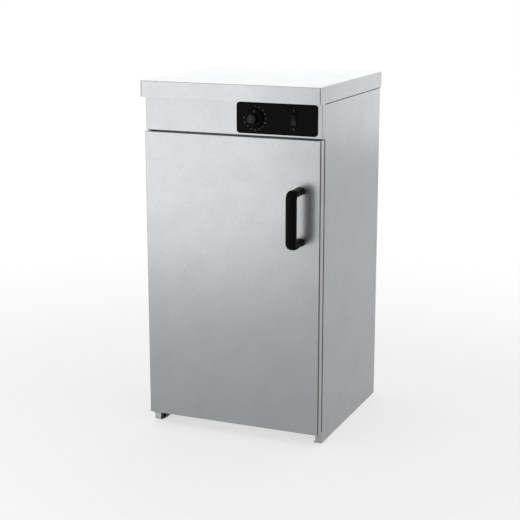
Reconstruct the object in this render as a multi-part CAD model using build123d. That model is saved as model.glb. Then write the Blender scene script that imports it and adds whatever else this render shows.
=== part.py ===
# Plate warmer cabinet: a free-standing heated cupboard for stacks of plates, in folded sheet steel.
# Millimetres, +Z up. The origin is on the floor under the middle of the whole cabinet's box, handle and
# cord gland included; the door faces -Y and +X is the handle side. Sheet parts are folded pans that lap
# or butt on each other's flanges.
from build123d import *
import os

# ---------------------------------------------------------------- driving dimensions
overall_height = 855.0
body_width = 446.0
body_depth = 405.0

outer_sheet = 0.8
liner_sheet = 0.6
worktop_sheet = 1.0
bend_radius = 1.5
assembly_gap = 0.2
hole_clearance = 0.25
loose_clearance = 2.0
running_clearance = 0.05
overlap = 0.1
inner_bend_share = 0.9
soft_clearance = 0.2

worktop_skirt = 38.5
worktop_side_overhang = 2.0
worktop_front_overhang = 38.0
worktop_back_overhang = 2.0
worktop_seam = 0.5
worktop_lip_gap = 1.0
worktop_channel_width = 20.0
worktop_channel_height = 12.0
worktop_channel_wing = 6.0
worktop_channel_inset = 18.0
worktop_channel_end_gap = 12.0

glide_height = 3.0
glide_width = 18.0
glide_length = 34.0
glide_stem_diameter = 7.0
glide_stem_height = 5.0
glide_inset = 30.0
glide_corner = 3.0

base_height = 31.0
side_front_flange = 16.0
side_rear_flange = 14.0
side_bottom_flange = 20.0
side_top_flange = 30.0
rail_shelf_depth = 21.0
rail_rise = 8.0
base_rear_flange = 10.0

insulation_thickness = 24.8
bottom_insulation = 24.4
top_insulation = 23.2
back_insulation = 24.0
front_service_depth = 14.0
back_service_height = 60.0

liner_lap = 3.4
liner_rear_flange = 10.0

panel_height = 79.5
panel_projection = 18.0

door_gap = 4.0
door_thickness = 21.0
door_top_gap = 2.6
door_floor_gap = 30.0
pan_sheet = 0.6
pan_flange = 12.0

gasket_margin = 1.3
gasket_squeeze_gap = 0.2
gasket_nose_radius = 1.8

pivot_side_offset = 7.0
pivot_depth = 11.0
pin_diameter = 6.0
pin_head_diameter = 9.0
pin_head_height = 2.2
pin_length = 17.4
bush_diameter = 9.0
bush_flange_diameter = 11.0
bush_flange = 1.0
bush_length = 12.0
bush_seat_gap = 0.3
hinge_bracket_thickness = 3.0
hinge_bracket_width = 15.0
hinge_bracket_nose = 5.0
upper_bracket_leg = 34.0
lower_bracket_leg = 21.0
bracket_screw_edge = 1.0
hinge_plate_thickness = 2.0
hinge_plate_length = 38.0

handle_edge_margin = 50.0
handle_drop = 177.4
handle_hole_spacing = 120.0
handle_width = 26.0
handle_section = 18.0
handle_standoff = 55.0
handle_bend_radius = 11.0
handle_edge_radius = 6.0
handle_screw_diameter = 5.0
handle_screw_length = 22.0
handle_screw_head = 9.0
handle_screw_head_height = 3.0

fascia_width = 199.0
fascia_height = 72.0
fascia_right_margin = 11.0
fascia_bottom_margin = 5.0
fascia_thickness = 3.0
fascia_corner = 8.0
fascia_rim = 1.2

knob_from_fascia_left = 46.5
knob_skirt_diameter = 44.0
knob_skirt_height = 5.0
knob_skirt_taper = 1.5
knob_grip_diameter = 25.0
knob_grip_top_diameter = 22.0
knob_height = 22.0
knob_fascia_gap = 0.8
knob_flute_count = 18
knob_flute_diameter = 2.2
knob_flute_outset = 0.264
knob_pointer_rise = 0.6
knob_pointer_width = 2.0
knob_edge_radius = 2.0
spindle_diameter = 6.0
spindle_flat = 4.6
spindle_knob_depth = 14.0
spindle_body_depth = 10.0

thermostat_width = 36.0
thermostat_height = 36.0
thermostat_depth = 24.0
thermostat_plate = 1.0
thermostat_plate_width = 44.0
thermostat_plate_height = 24.0
thermostat_screw_spacing = 34.0
bulb_diameter = 6.0
bulb_length = 85.0
bulb_drop = 12.0
bulb_from_right = 96.0
bulb_from_front = 166.5
bulb_end_radius = 1.8
capillary_diameter = 1.6
capillary_bend = 9.8
capillary_entry_gap = 24.0
clip_width = 8.0
clip_thickness = 0.8
clip_foot = 11.0

switch_from_fascia_right = 57.5
switch_bezel_width = 17.0
switch_bezel_height = 31.0
switch_bezel_thickness = 2.0
switch_bezel_corner = 2.0
switch_bezel_round = 0.9
switch_wall = 0.9
switch_well_width = 11.4
switch_well_height = 26.0
switch_depth = 20.0
switch_well_depth = 15.0
rocker_clearance = 0.35
rocker_face_angle = 7.0
rocker_front = 3.4
rocker_back = 5.0
rocker_pivot_depth = 1.5
rocker_pin_diameter = 2.0
tab_width = 4.8
tab_thickness = 0.8
tab_length = 7.0
tab_spread = 4.0
tab_rise = 7.5

element_diameter = 8.0
element_floor_gap = 20.0
element_side_gap = 46.0
element_front_gap = 72.0
element_rear_gap = 56.0
element_bend_radius = 18.0
terminal_half_spacing = 20.0
element_tail = 9.0
element_bush_thread = 12.0
element_bush_flange = 17.0
element_nut_height = 4.0
element_tab_length = 12.0
element_tab_width = 6.0
element_tab_thickness = 0.8
support_width = 12.0
support_thickness = 1.0
support_foot = 14.0
guard_height = 44.0
guard_side_gap = 14.0
guard_end_gap = 12.0
guard_slot_length = 32.0
guard_slot_width = 5.0
guard_slot_pitch_x = 44.0
guard_slot_pitch_y = 16.0
guard_slot_margin = 24.0

shelf_levels = 3
shelf_first_rise = 56.0
shelf_pitch = 200.0
runner_sheet = 1.2
runner_leg = 14.0
runner_upright = 12.0
runner_end_gap = 14.0
shelf_rod_diameter = 6.0
shelf_wire_diameter = 3.2
shelf_wire_pitch = 22.0
shelf_wire_sink = 0.3
wire_end_share = 0.6
shelf_corner_radius = 14.0
shelf_side_gap = 3.0
shelf_front_gap = 19.0
shelf_rear_gap = 4.0
shelf_rest_gap = 0.3

catch_length = 58.0
catch_body_length = 44.0
catch_body_width = 9.6
catch_body_depth = 12.0
catch_flange_width = 13.0
magnet_length = 30.0
magnet_width = 5.0
magnet_depth = 8.0
strike_thickness = 1.0
strike_length = 46.0
strike_width = 12.0
catch_air_gap = 0.3

screw_diameter = 4.0
screw_length = 8.0
screw_head_diameter = 8.0
screw_head_height = 2.3
screw_head_dome = 1.38
screw_key_depth = 1.38
screw_key_size = 2.4
rivet_nut_diameter = 8.0
rivet_nut_height = 7.0
worktop_screw_inset = 60.0
back_screw_end_inset = 40.0

vent_slot_length = 36.0
vent_slot_width = 4.0
vent_slot_pitch = 9.0
vent_column_pitch = 48.0
vent_rows = 5
vent_columns = 4
vent_drop = 52.0

gland_drop = 62.0
gland_from_right = 62.0
gland_thread = 16.0
gland_hex = 22.0
gland_hex_height = 6.0
gland_dome_height = 14.0
gland_dome_base = 20.2
gland_dome_tip = 13.2
gland_dome_round = 2.0
gland_bore = 8.0
gland_inner_length = 12.0
gland_nut_height = 5.0

block_width = 42.0
block_depth = 22.0
block_height = 18.0
block_from_back = 70.0
block_pole_pitch = 14.0
block_screw_diameter = 5.0
block_corner = 1.5
lead_diameter = 2.8
lead_bend = 14.0
lead_rise_run = 70.0
lead_crossing = 4.0
earth_first_run = 16.8
earth_second_run = 22.4
earth_bend = 4.2
lead_height = 11.0
duct_offset = 16.0
duct_spacing = 6.0
duct_wall_gap = 3.0
duct_rear_shift = 2.0
duct_hole_diameter = 18.0
cutout_diameter = 16.0
cutout_height = 8.0
cutout_offset = 70.0
cutout_flange_length = 30.0
cutout_flange_width = 9.6
cutout_flange_sheet = 1.2
cutout_tab_length = 28.0
earth_stud_length = 14.0
earth_nut_height = 3.2
earth_nut_size = 7.0
earth_from_block = 44.0

# ---------------------------------------------------------------- places worked out from them
side_x = body_width / 2
front_projection = door_gap + door_thickness + handle_standoff + handle_section / 2
rear_projection = gland_hex_height + gland_dome_height
front_y = (front_projection - body_depth - rear_projection) / 2
back_y = front_y + body_depth
web_x = side_x - outer_sheet
flange_x = side_x - side_front_flange

deck_under = overall_height - worktop_sheet
skirt_bottom = overall_height - worktop_skirt
side_top = deck_under - worktop_channel_height
panel_bottom = skirt_bottom - panel_height
panel_face_y = front_y - panel_projection
panel_inner_y = panel_face_y + outer_sheet
header_top = panel_bottom + rail_rise
tray_top = header_top + outer_sheet

base_top = base_height + 2 * outer_sheet
floor_under = base_top + bottom_insulation + 2 * soft_clearance
floor_z = floor_under + liner_sheet
ceiling_top = header_top - outer_sheet - top_insulation - 2 * soft_clearance
ceiling_z = ceiling_top - liner_sheet

liner_out_x = web_x - insulation_thickness - 2 * soft_clearance
chamber_x = liner_out_x - liner_sheet
liner_front_y = front_y + outer_sheet
liner_flange_back = liner_front_y + liner_sheet
back_inner_y = back_y - outer_sheet
liner_back_rear = back_inner_y - back_insulation - 2 * soft_clearance
liner_back_y = liner_back_rear - liner_sheet
reveal = flange_x - chamber_x
liner_flange = reveal + liner_lap
flange_out_x = chamber_x + liner_flange

door_back_y = front_y - door_gap
door_face_y = door_back_y - door_thickness
door_bottom = door_floor_gap
door_top = panel_bottom - door_top_gap
pan_face_y = door_back_y - pan_sheet
pivot_x = -side_x + pivot_side_offset
pivot_y = front_y - pivot_depth
handle_x = side_x - handle_edge_margin
handle_z = door_top - handle_drop

fascia_right = side_x - fascia_right_margin
fascia_left = fascia_right - fascia_width
fascia_bottom = panel_bottom + fascia_bottom_margin
fascia_x = fascia_right - fascia_width / 2
fascia_z = fascia_bottom + fascia_height / 2
fascia_face_y = panel_face_y - fascia_thickness
knob_x = fascia_left + knob_from_fascia_left
switch_x = fascia_right - switch_from_fascia_right
thermostat_rear_y = panel_inner_y + thermostat_plate + thermostat_depth
switch_rear_y = fascia_face_y + switch_depth

element_z = floor_z + element_floor_gap
guard_top = floor_z + guard_height
shelf_x = chamber_x - runner_sheet - shelf_side_gap
shelf_front_y = liner_front_y + shelf_front_gap
shelf_rear_y = liner_back_y - shelf_rear_gap
duct_x = -web_x + duct_offset
duct_y = (liner_back_rear + back_inner_y) / 2 - duct_rear_shift
block_x = side_x - gland_from_right - block_width / 2
block_y = back_inner_y - block_from_back
lead_z = tray_top + lead_height


# ---------------------------------------------------------------- helpers
def block(x, y, z):
    """Block between its low and high coordinate on each axis."""
    centre = [(low + high) / 2 for low, high in (x, y, z)]
    size = [high - low for low, high in (x, y, z)]
    return Pos(*centre) * Box(*size)


def around(centre, width):
    """Low and high coordinate of a width centred on a coordinate."""
    return (centre - width / 2, centre + width / 2)


def rod(start, end, diameter):
    """Round bar from one point to another."""
    run = Vector(*end) - Vector(*start)
    return Solid.make_cylinder(diameter / 2, run.length, Plane(origin=start, z_dir=run))


def cone(start, end, start_diameter, end_diameter):
    """Tapered round bar from one point to another."""
    run = Vector(*end) - Vector(*start)
    plane = Plane(origin=start, z_dir=run)
    return Solid.make_cone(start_diameter / 2, end_diameter / 2, run.length, plane)


def hexagon(start, end, across_flats):
    """Hexagonal bar from one point to another."""
    run = Vector(*end) - Vector(*start)
    plane = Plane(origin=start, z_dir=run)
    outline = plane * RegularPolygon(radius=across_flats / 2, side_count=6, major_radius=False)
    return extrude(outline, amount=run.length, dir=run.normalized())


def tube_along(points, diameter, bend):
    """Round tube along straight runs joined by tangent arcs."""
    path = FilletPolyline(*points, radius=bend)
    section = Plane(origin=path @ 0, z_dir=path % 0) * Circle(diameter / 2)
    return sweep(section, path=path)


def moved_to(place, shape):
    """A copy of a shape moved by a vector."""
    return Pos(*place) * shape


def other_side(shape):
    """The mirror image across the middle plane of the cabinet."""
    return mirror(shape, about=Plane.YZ)


def group(shapes):
    """Separate solids kept together in one node."""
    solids = [solid for shape in shapes for solid in shape.solids()]
    return Compound(children=solids)


# ---------------------------------------------------------------- outer casing
def worktop_outer(shrink, floor):
    """The lid's envelope, shrunk on every face but its open underside."""
    x = (-side_x - worktop_side_overhang + shrink, side_x + worktop_side_overhang - shrink)
    y = (front_y - worktop_front_overhang + shrink, back_y + worktop_back_overhang - shrink)
    body = block(x, y, (floor, overall_height - shrink))
    return fillet(body.faces().sort_by(Axis.Z)[-1].edges(), bend_radius - shrink * inner_bend_share)


def worktop_channel(x):
    """Hat-section stiffener under the deck, which the lid is screwed down by."""
    y = (front_y + worktop_channel_end_gap, back_y - worktop_channel_end_gap)
    z = (side_top, deck_under)
    wall = worktop_sheet
    hat = block(around(x, worktop_channel_width), y, z)
    hat -= block(around(x, worktop_channel_width - 2 * wall), y, (z[0] + wall, z[1]))
    wing_width = worktop_channel_width + 2 * worktop_channel_wing
    wings = block(around(x, wing_width), y, (z[1] - wall, z[1]))
    wings -= block(around(x, worktop_channel_width - 2 * wall), y, (z[0], z[1]))
    return hat + wings


def worktop_screw_places():
    """Where the four lid screws stand, in plan."""
    x = side_x - worktop_channel_inset
    ys = (front_y + worktop_screw_inset, back_y - worktop_screw_inset)
    return [(side * x, y) for side in (-1, 1) for y in ys]


def make_worktop():
    """Folded lid: deck, four skirts with open corner seams, a front lip and two stiffeners."""
    lid = worktop_outer(0, skirt_bottom) - worktop_outer(worktop_sheet, skirt_bottom - 1)
    skirt_y = front_y - worktop_front_overhang + worktop_sheet
    rear_y = back_y + worktop_back_overhang - worktop_sheet
    skirt_x = side_x + worktop_side_overhang
    seam_top = overall_height - bend_radius - worktop_seam
    for y in ((skirt_y, skirt_y + worktop_seam), (rear_y - worktop_seam, rear_y)):
        for side in (-1, 1):
            x = around(side * skirt_x, 2 * worktop_sheet + assembly_gap)
            lid -= block(x, y, (skirt_bottom - 1, seam_top))
    lip_x = skirt_x - worktop_sheet - worktop_seam
    lip_y = (skirt_y - assembly_gap, panel_face_y - worktop_lip_gap)
    lid += block((-lip_x, lip_x), lip_y, (skirt_bottom, skirt_bottom + worktop_sheet))
    for side in (-1, 1):
        lid += worktop_channel(side * (side_x - worktop_channel_inset))
    nut_floor = side_top + worktop_sheet
    for x, y in worktop_screw_places():
        lid += rod((x, y, nut_floor), (x, y, nut_floor + rivet_nut_height), rivet_nut_diameter)
        bore = screw_diameter + 2 * running_clearance
        lid -= rod((x, y, side_top - 1), (x, y, deck_under - worktop_sheet), bore)
    return lid


def back_screw_places():
    """Where the back panel's screws stand, seen from behind."""
    x = web_x - side_rear_flange / 2
    low = base_height + back_screw_end_inset
    high = side_top - back_screw_end_inset
    return [(side * x, z) for side in (-1, 1) for z in (low, (low + high) / 2, high)]


def hinge_screw_heights():
    """Heights of the screws of the upper and the lower hinge bracket."""
    upper = panel_bottom + outer_sheet + hinge_bracket_thickness
    lower = lower_bracket_top() - hinge_bracket_thickness
    edge = screw_head_diameter / 2 + bracket_screw_edge
    high_pair = (upper + screw_head_diameter, upper + upper_bracket_leg - edge)
    low_pair = (lower - edge, lower - lower_bracket_leg + edge)
    return high_pair + low_pair


def hinge_screw_x():
    """Distance of the bracket screws from the middle plane."""
    return -web_x + hinge_bracket_width / 2


def make_side_panel_right():
    """Right outer side: web with front, rear, top and bottom flanges folded inwards."""
    z = (glide_height, side_top)
    web_y = (front_y, back_y - outer_sheet)
    side = block((web_x, side_x), web_y, z)
    side += block((flange_x, side_x), (front_y, front_y + outer_sheet), z)
    rear_y = (back_inner_y - outer_sheet, back_inner_y)
    side += block((web_x - side_rear_flange, side_x), rear_y, z)
    foot_x = (side_x - side_bottom_flange, side_x)
    side += block(foot_x, web_y, (z[0], z[0] + outer_sheet))
    side += block((side_x - side_top_flange, side_x), web_y, (z[1] - outer_sheet, z[1]))
    outer_bend = side.edges().filter_by(Axis.Z).group_by(Axis.X)[-1].sort_by(Axis.Y)[0]
    side = fillet(outer_bend, bend_radius * 0.5)
    bore = screw_diameter + 2 * hole_clearance
    for x, y in worktop_screw_places():
        if x > 0:
            side -= rod((x, y, z[1] - 2 * outer_sheet), (x, y, z[1] + 1), bore)
    tapped = screw_diameter + 2 * running_clearance
    for x, screw_z in back_screw_places():
        if x > 0:
            side -= rod((x, rear_y[0] - 1, screw_z), (x, rear_y[1] + 1, screw_z), tapped)
    stem = glide_stem_diameter + 2 * running_clearance
    for x, y in glide_places():
        if x > 0:
            side -= rod((x, y, 0), (x, y, z[0] + 2 * outer_sheet), stem)
    return side


def cut_catch_window(side):
    """Opening in the handle-side flange for the magnetic catch, with its two screw holes."""
    x = around(catch_x(), catch_body_width + 2 * hole_clearance)
    z = around(handle_z, catch_body_length + 2 * hole_clearance)
    side -= block(x, (front_y - 1, front_y + 2 * outer_sheet), z)
    tapped = screw_diameter + 2 * running_clearance
    for screw_z in catch_screw_heights():
        side -= rod((catch_x(), front_y - 1, screw_z), (catch_x(), front_y + 1, screw_z), tapped)
    return side


def cut_hinge_holes(side):
    """Tapped holes for the hinge brackets in the hinge-side flange."""
    tapped = screw_diameter + 2 * running_clearance
    x = hinge_screw_x()
    for z in hinge_screw_heights():
        side -= rod((x, front_y - 1, z), (x, front_y + 1, z), tapped)
    return side


def glide_places():
    """Where the four floor glides stand, in plan."""
    x = web_x - side_bottom_flange / 2
    ys = (front_y + glide_inset, back_y - glide_inset)
    return [(side * x, y) for side in (-1, 1) for y in ys]


def make_floor_glides():
    """Four plastic glides pushed into the bottom flanges of the sides."""
    glides = []
    for x, y in glide_places():
        pad = block(around(x, glide_width), around(y, glide_length), (0, glide_height))
        pad = fillet(pad.edges().filter_by(Axis.Z), glide_corner)
        pad = chamfer(pad.faces().sort_by(Axis.Z)[0].edges(), glide_height / 4)
        stem_top = glide_height + glide_stem_height
        pad += rod((x, y, glide_height / 2), (x, y, stem_top), glide_stem_diameter)
        glides.append(pad)
    return group(glides)


def make_base_panel():
    """Bottom closing sheet with flanges turned down beside the sides and one turned up behind."""
    y = (front_y + outer_sheet, back_inner_y - outer_sheet - assembly_gap)
    z = (base_height + outer_sheet, base_top)
    base = block((-web_x, web_x), y, z)
    for side in (-1, 1):
        edge = sorted((side * web_x, side * (web_x - outer_sheet)))
        base += block(edge, y, (z[0] - side_rear_flange, z[1]))
    rear_x = web_x - side_rear_flange - assembly_gap
    rear = (y[1] - outer_sheet, back_inner_y)
    base += block((-rear_x, rear_x), (y[1] - outer_sheet, rear[1]), z)
    return base + block((-rear_x, rear_x), (rear[1] - outer_sheet, rear[1]), (z[0], z[1] + base_rear_flange))


def make_sill_rail():
    """Bottom cross-member: face between the side flanges, shelf under the base, lap tabs at its ends."""
    face_x = flange_x - assembly_gap
    face_z = (base_height, floor_z - reveal)
    rail = block((-face_x, face_x), (front_y, front_y + outer_sheet), face_z)
    shelf_y = (front_y, front_y + rail_shelf_depth)
    rail += block((-face_x, face_x), shelf_y, (base_height, base_height + outer_sheet))
    tab_z = (base_top + assembly_gap, floor_z - liner_flange - assembly_gap)
    tab_y = (front_y + outer_sheet, front_y + 2 * outer_sheet)
    for side in (-1, 1):
        tab_x = sorted((side * (flange_x - reveal), side * (web_x - outer_sheet)))
        rail += block(tab_x, tab_y, tab_z)
    return rail


def make_header_rail():
    """Top cross-member above the door opening, behind the foot of the control panel."""
    face_x = flange_x - assembly_gap
    face_z = (ceiling_z + reveal, header_top)
    rail = block((-face_x, face_x), (front_y, front_y + outer_sheet), face_z)
    shelf_y = (front_y, front_y + rail_shelf_depth)
    rail += block((-face_x, face_x), shelf_y, (header_top - outer_sheet, header_top))
    tab_z = (ceiling_z + liner_flange + assembly_gap, header_top - outer_sheet)
    tab_y = (front_y + outer_sheet, front_y + 2 * outer_sheet)
    for side in (-1, 1):
        tab_x = sorted((side * (flange_x - reveal), side * (web_x - outer_sheet)))
        rail += block(tab_x, tab_y, tab_z)
    return rail


def make_service_tray():
    """Floor of the electrical space over the top insulation, with flanges up along the sides."""
    y = (front_y + 2 * outer_sheet, back_inner_y - outer_sheet - assembly_gap)
    z = (header_top, tray_top)
    tray = block((-web_x, web_x), y, z)
    for side in (-1, 1):
        edge = sorted((side * web_x, side * (web_x - outer_sheet)))
        tray += block(edge, y, (z[0], z[1] + side_rear_flange))
    hole = duct_hole_diameter
    tray -= rod((duct_centre_x(), duct_y, z[0] - 1), (duct_centre_x(), duct_y, z[1] + 1), hole)
    entry = capillary_entry()
    bore = capillary_diameter + loose_clearance
    tray -= rod((entry[0], entry[1], z[0] - 1), (entry[0], entry[1], z[1] + 1), bore)
    stud = earth_place()
    stud_bore = screw_diameter + 2 * running_clearance
    tray -= rod((stud[0], stud[1], z[0] - 1), (stud[0], stud[1], z[1] + 1), stud_bore)
    return tray


def make_back_panel():
    """Rear sheet with ventilation slots for the electrical space and the hole of the cord gland."""
    z = (base_height, side_top)
    half = side_x - assembly_gap
    panel = block((-half, half), (back_inner_y, back_y), z)
    panel -= vent_slots()
    gland = rod((gland_x(), back_inner_y - 1, gland_z()), (gland_x(), back_y + 1, gland_z()),
                gland_thread + 2 * running_clearance)
    panel -= gland
    bore = screw_diameter + 2 * hole_clearance
    for x, screw_z in back_screw_places():
        panel -= rod((x, back_inner_y - 1, screw_z), (x, back_y + 1, screw_z), bore)
    return panel


def vent_slots():
    """Rounded slots in rows, left of the middle as seen from the front."""
    centre_x = -web_x / 3
    centre_z = side_top - vent_drop
    plane = Plane(origin=(centre_x, back_y + 1, centre_z), x_dir=(-1, 0, 0), z_dir=(0, 1, 0))
    grid = GridLocations(vent_column_pitch, vent_slot_pitch, vent_columns, vent_rows)
    outlines = Sketch() + plane * grid * SlotOverall(vent_slot_length, vent_slot_width)
    return extrude(outlines, amount=3 * outer_sheet, dir=(0, -1, 0))


def pan_head_screw(place, direction):
    """Pan head screw with its head's underside at a place, pointing along a direction."""
    start = Vector(*place)
    run = Vector(*direction)
    top = start - run * screw_head_height
    head = rod(tuple(top), tuple(start), screw_head_diameter)
    head = fillet(head.faces().sort_by(Axis(origin=start, direction=run))[0].edges(), screw_head_dome)
    recess = top + run * screw_key_depth
    head -= hexagon(tuple(top - run * overlap), tuple(recess), screw_key_size)
    tip = start + run * screw_length
    return head + rod(tuple(start - run * overlap), tuple(tip), screw_diameter)


def make_pan_head_screws():
    """The screws that hold the worktop from below and the back panel from behind."""
    screws = []
    for x, y in worktop_screw_places():
        screws.append(pan_head_screw((x, y, side_top - outer_sheet), (0, 0, 1)))
    for x, z in back_screw_places():
        screws.append(pan_head_screw((x, back_y, z), (0, -1, 0)))
    return group(screws)


# ---------------------------------------------------------------- heated chamber
def make_liner_left():
    """Left wall of the chamber with a front flange behind the side flange and a rear flange."""
    z = (floor_z - liner_flange, ceiling_z + liner_flange)
    wall = block((-liner_out_x, -chamber_x), (liner_front_y, liner_back_y), z)
    wall += block((-flange_out_x, -chamber_x), (liner_front_y, liner_flange_back), z)
    rear_x = (-liner_out_x - liner_rear_flange, -chamber_x)
    return wall + block(rear_x, (liner_back_y - liner_sheet, liner_back_y), z)


def make_liner_back():
    """Rear wall of the chamber, with holes for the element's bushes."""
    z = (floor_z - liner_flange, ceiling_z + liner_flange)
    half = liner_out_x + liner_rear_flange
    wall = block((-half, half), (liner_back_y, liner_back_rear), z)
    bore = element_bush_thread + 2 * hole_clearance
    for side in (-1, 1):
        x = side * terminal_half_spacing
        wall -= rod((x, liner_back_y - 1, element_z), (x, liner_back_rear + 1, element_z), bore)
    return wall


def liner_pan(sheet_z, flange_sign):
    """Floor or ceiling of the chamber: a sheet with its four flanges turned away from the chamber."""
    x = (-chamber_x, chamber_x)
    y = (liner_front_y, liner_back_y - liner_sheet)
    pan = block(x, y, sheet_z)
    edge = sheet_z[0] if flange_sign > 0 else sheet_z[1]
    tall = sorted((edge, edge + flange_sign * liner_flange))
    short = sorted((edge, edge + flange_sign * (liner_flange - liner_sheet)))
    pan += block(x, (liner_front_y, liner_flange_back), tall)
    pan += block(x, (y[1] - liner_sheet, y[1]), short)
    for side in (-1, 1):
        flange = sorted((side * chamber_x, side * (chamber_x - liner_sheet)))
        pan += block(flange, y, short)
    return pan


def make_liner_floor():
    """Floor of the chamber."""
    return liner_pan((floor_under, floor_z), -1)


def make_liner_ceiling():
    """Ceiling of the chamber, with the hole for the capillary tube."""
    entry = capillary_entry()
    bore = capillary_diameter + loose_clearance
    hole = rod((entry[0], entry[1], ceiling_z - 1), (entry[0], entry[1], ceiling_top + 1), bore)
    return liner_pan((ceiling_z, ceiling_top), 1) - hole


def make_insulation_left():
    """Mineral wool slab in the left wall."""
    x = (-web_x + soft_clearance, -liner_out_x - soft_clearance)
    y = (front_y + front_service_depth, liner_back_y - liner_sheet - soft_clearance)
    return block(x, y, (base_top + soft_clearance, header_top - outer_sheet - soft_clearance))


def make_insulation_back():
    """Mineral wool slab behind the chamber, above the space for the element's terminals."""
    half = -duct_x - duct_spacing - lead_diameter / 2 - duct_wall_gap
    y = (liner_back_rear + soft_clearance, back_inner_y - soft_clearance)
    return block((-half, half), y, (floor_z + back_service_height, header_top - soft_clearance))


def make_insulation_top():
    """Mineral wool slab over the chamber, with a hole for the capillary tube."""
    half = chamber_x - liner_sheet - soft_clearance
    y = (liner_flange_back + soft_clearance, liner_back_y - 2 * liner_sheet - soft_clearance)
    z = (ceiling_top + soft_clearance, ceiling_top + soft_clearance + top_insulation)
    slab = block((-half, half), y, z)
    entry = capillary_entry()
    return slab - rod((entry[0], entry[1], z[0] - 1), (entry[0], entry[1], z[1] + 1), bulb_diameter)


def make_insulation_bottom():
    """Mineral wool slab under the chamber floor."""
    half = chamber_x - liner_sheet - soft_clearance
    y = (liner_flange_back + 2 * soft_clearance, liner_back_y - 2 * liner_sheet - soft_clearance)
    return block((-half, half), y, (base_top + soft_clearance, floor_under - soft_clearance))


# ---------------------------------------------------------------- shelves
def shelf_level(index):
    """Height of the resting face of one pair of runners."""
    return floor_z + shelf_first_rise + index * shelf_pitch


def make_runners_left():
    """Three folded angles on the left wall that carry the shelves."""
    y = (liner_front_y + runner_end_gap, liner_back_y - runner_end_gap)
    runners = []
    for index in range(shelf_levels):
        top = shelf_level(index)
        x = (-chamber_x, -chamber_x + runner_sheet + runner_leg)
        angle = block(x, y, (top - runner_sheet, top))
        angle += block((x[0], x[0] + runner_sheet), y, (top - runner_sheet, top + runner_upright))
        runners.append(angle)
    return group(runners)


def shelf_wire_places():
    """Distances of the plate wires from the middle plane."""
    count = int((shelf_x - shelf_rod_diameter) / shelf_wire_pitch)
    return [index * shelf_wire_pitch for index in range(-count, count + 1)]


def shelf_at(index):
    """Welded wire grid: round frame, two cross bars and plate wires running front to back."""
    radius = shelf_rod_diameter / 2
    frame_z = shelf_level(index) + shelf_rest_gap + radius
    wire_z = frame_z + radius + shelf_wire_diameter / 2 - shelf_wire_sink
    x = shelf_x - radius
    front = shelf_front_y + radius
    rear = shelf_rear_y - radius
    outline = Pos(0, (front + rear) / 2, frame_z) * RectangleRounded(2 * x, rear - front, shelf_corner_radius)
    path = outline.face().outer_wire()
    section = Plane(origin=path @ 0, z_dir=path % 0) * Circle(radius)
    grid = sweep(section, path=path)
    third = (rear - front) / 3
    for y in (front + third, rear - third):
        grid += rod((-x, y, frame_z), (x, y, frame_z), shelf_rod_diameter)
    end = radius * wire_end_share
    for wire_x in shelf_wire_places():
        grid += rod((wire_x, front - end, wire_z), (wire_x, rear + end, wire_z), shelf_wire_diameter)
    return grid


# ---------------------------------------------------------------- heating
def make_heating_element():
    """Sheathed loop above the chamber floor whose two tails leave through the rear wall."""
    x = chamber_x - element_side_gap
    front = liner_front_y + element_front_gap
    rear = liner_back_y - element_rear_gap
    tail_y = liner_back_rear + element_tail
    points = [
        (-terminal_half_spacing, tail_y, element_z),
        (-terminal_half_spacing, rear, element_z),
        (-x, rear, element_z),
        (-x, front, element_z),
        (x, front, element_z),
        (x, rear, element_z),
        (terminal_half_spacing, rear, element_z),
        (terminal_half_spacing, tail_y, element_z),
    ]
    loop = tube_along(points, element_diameter, element_bend_radius)
    tab_y = (tail_y - element_tab_thickness, tail_y)
    root = element_diameter / 2 - 1
    left_end = -terminal_half_spacing - root - element_tab_length
    loop += block((left_end, -terminal_half_spacing), tab_y, around(element_z, element_tab_width))
    right_top = element_z + root + element_tab_length
    loop += block(around(terminal_half_spacing, element_tab_width), tab_y, (element_z, right_top))
    return loop


def make_element_bushes():
    """Brass bushes with nuts that clamp the element's tails in the rear wall."""
    bushes = []
    bore = element_diameter + 2 * running_clearance
    for side in (-1, 1):
        x = side * terminal_half_spacing
        front = liner_back_y - element_nut_height
        rear = liner_back_rear + element_nut_height
        bush = rod((x, front, element_z), (x, liner_back_y, element_z), element_bush_flange)
        bush += rod((x, front + 1, element_z), (x, rear, element_z), element_bush_thread)
        bush += hexagon((x, liner_back_rear, element_z), (x, rear, element_z), element_bush_flange)
        bush -= rod((x, front - 1, element_z), (x, rear + 1, element_z), bore)
        bushes.append(bush)
    return group(bushes)


def make_element_supports():
    """Two folded saddles that hold the loop's sides off the chamber floor."""
    x = chamber_x - element_side_gap
    y = (liner_front_y + element_front_gap + liner_back_y - element_rear_gap) / 2
    saddles = []
    for side in (-1, 1):
        span = around(side * x, element_diameter + 2 * support_thickness + 2 * running_clearance)
        width = around(y, support_width)
        top = element_z + element_diameter / 2
        saddle = block(span, width, (floor_z, top))
        inner = around(side * x, element_diameter + 2 * running_clearance)
        saddle -= block(inner, width, (floor_z + support_thickness, element_z - element_diameter / 2))
        saddle -= block(inner, width, (element_z, top + 1))
        bore = element_diameter + 2 * running_clearance
        ends = (y - support_width, y + support_width)
        saddle -= rod((side * x, ends[0], element_z), (side * x, ends[1], element_z), bore)
        foot = around(side * x, element_diameter + 2 * support_foot)
        saddle += block(foot, width, (floor_z, floor_z + support_thickness))
        saddles.append(saddle)
    return group(saddles)


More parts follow.
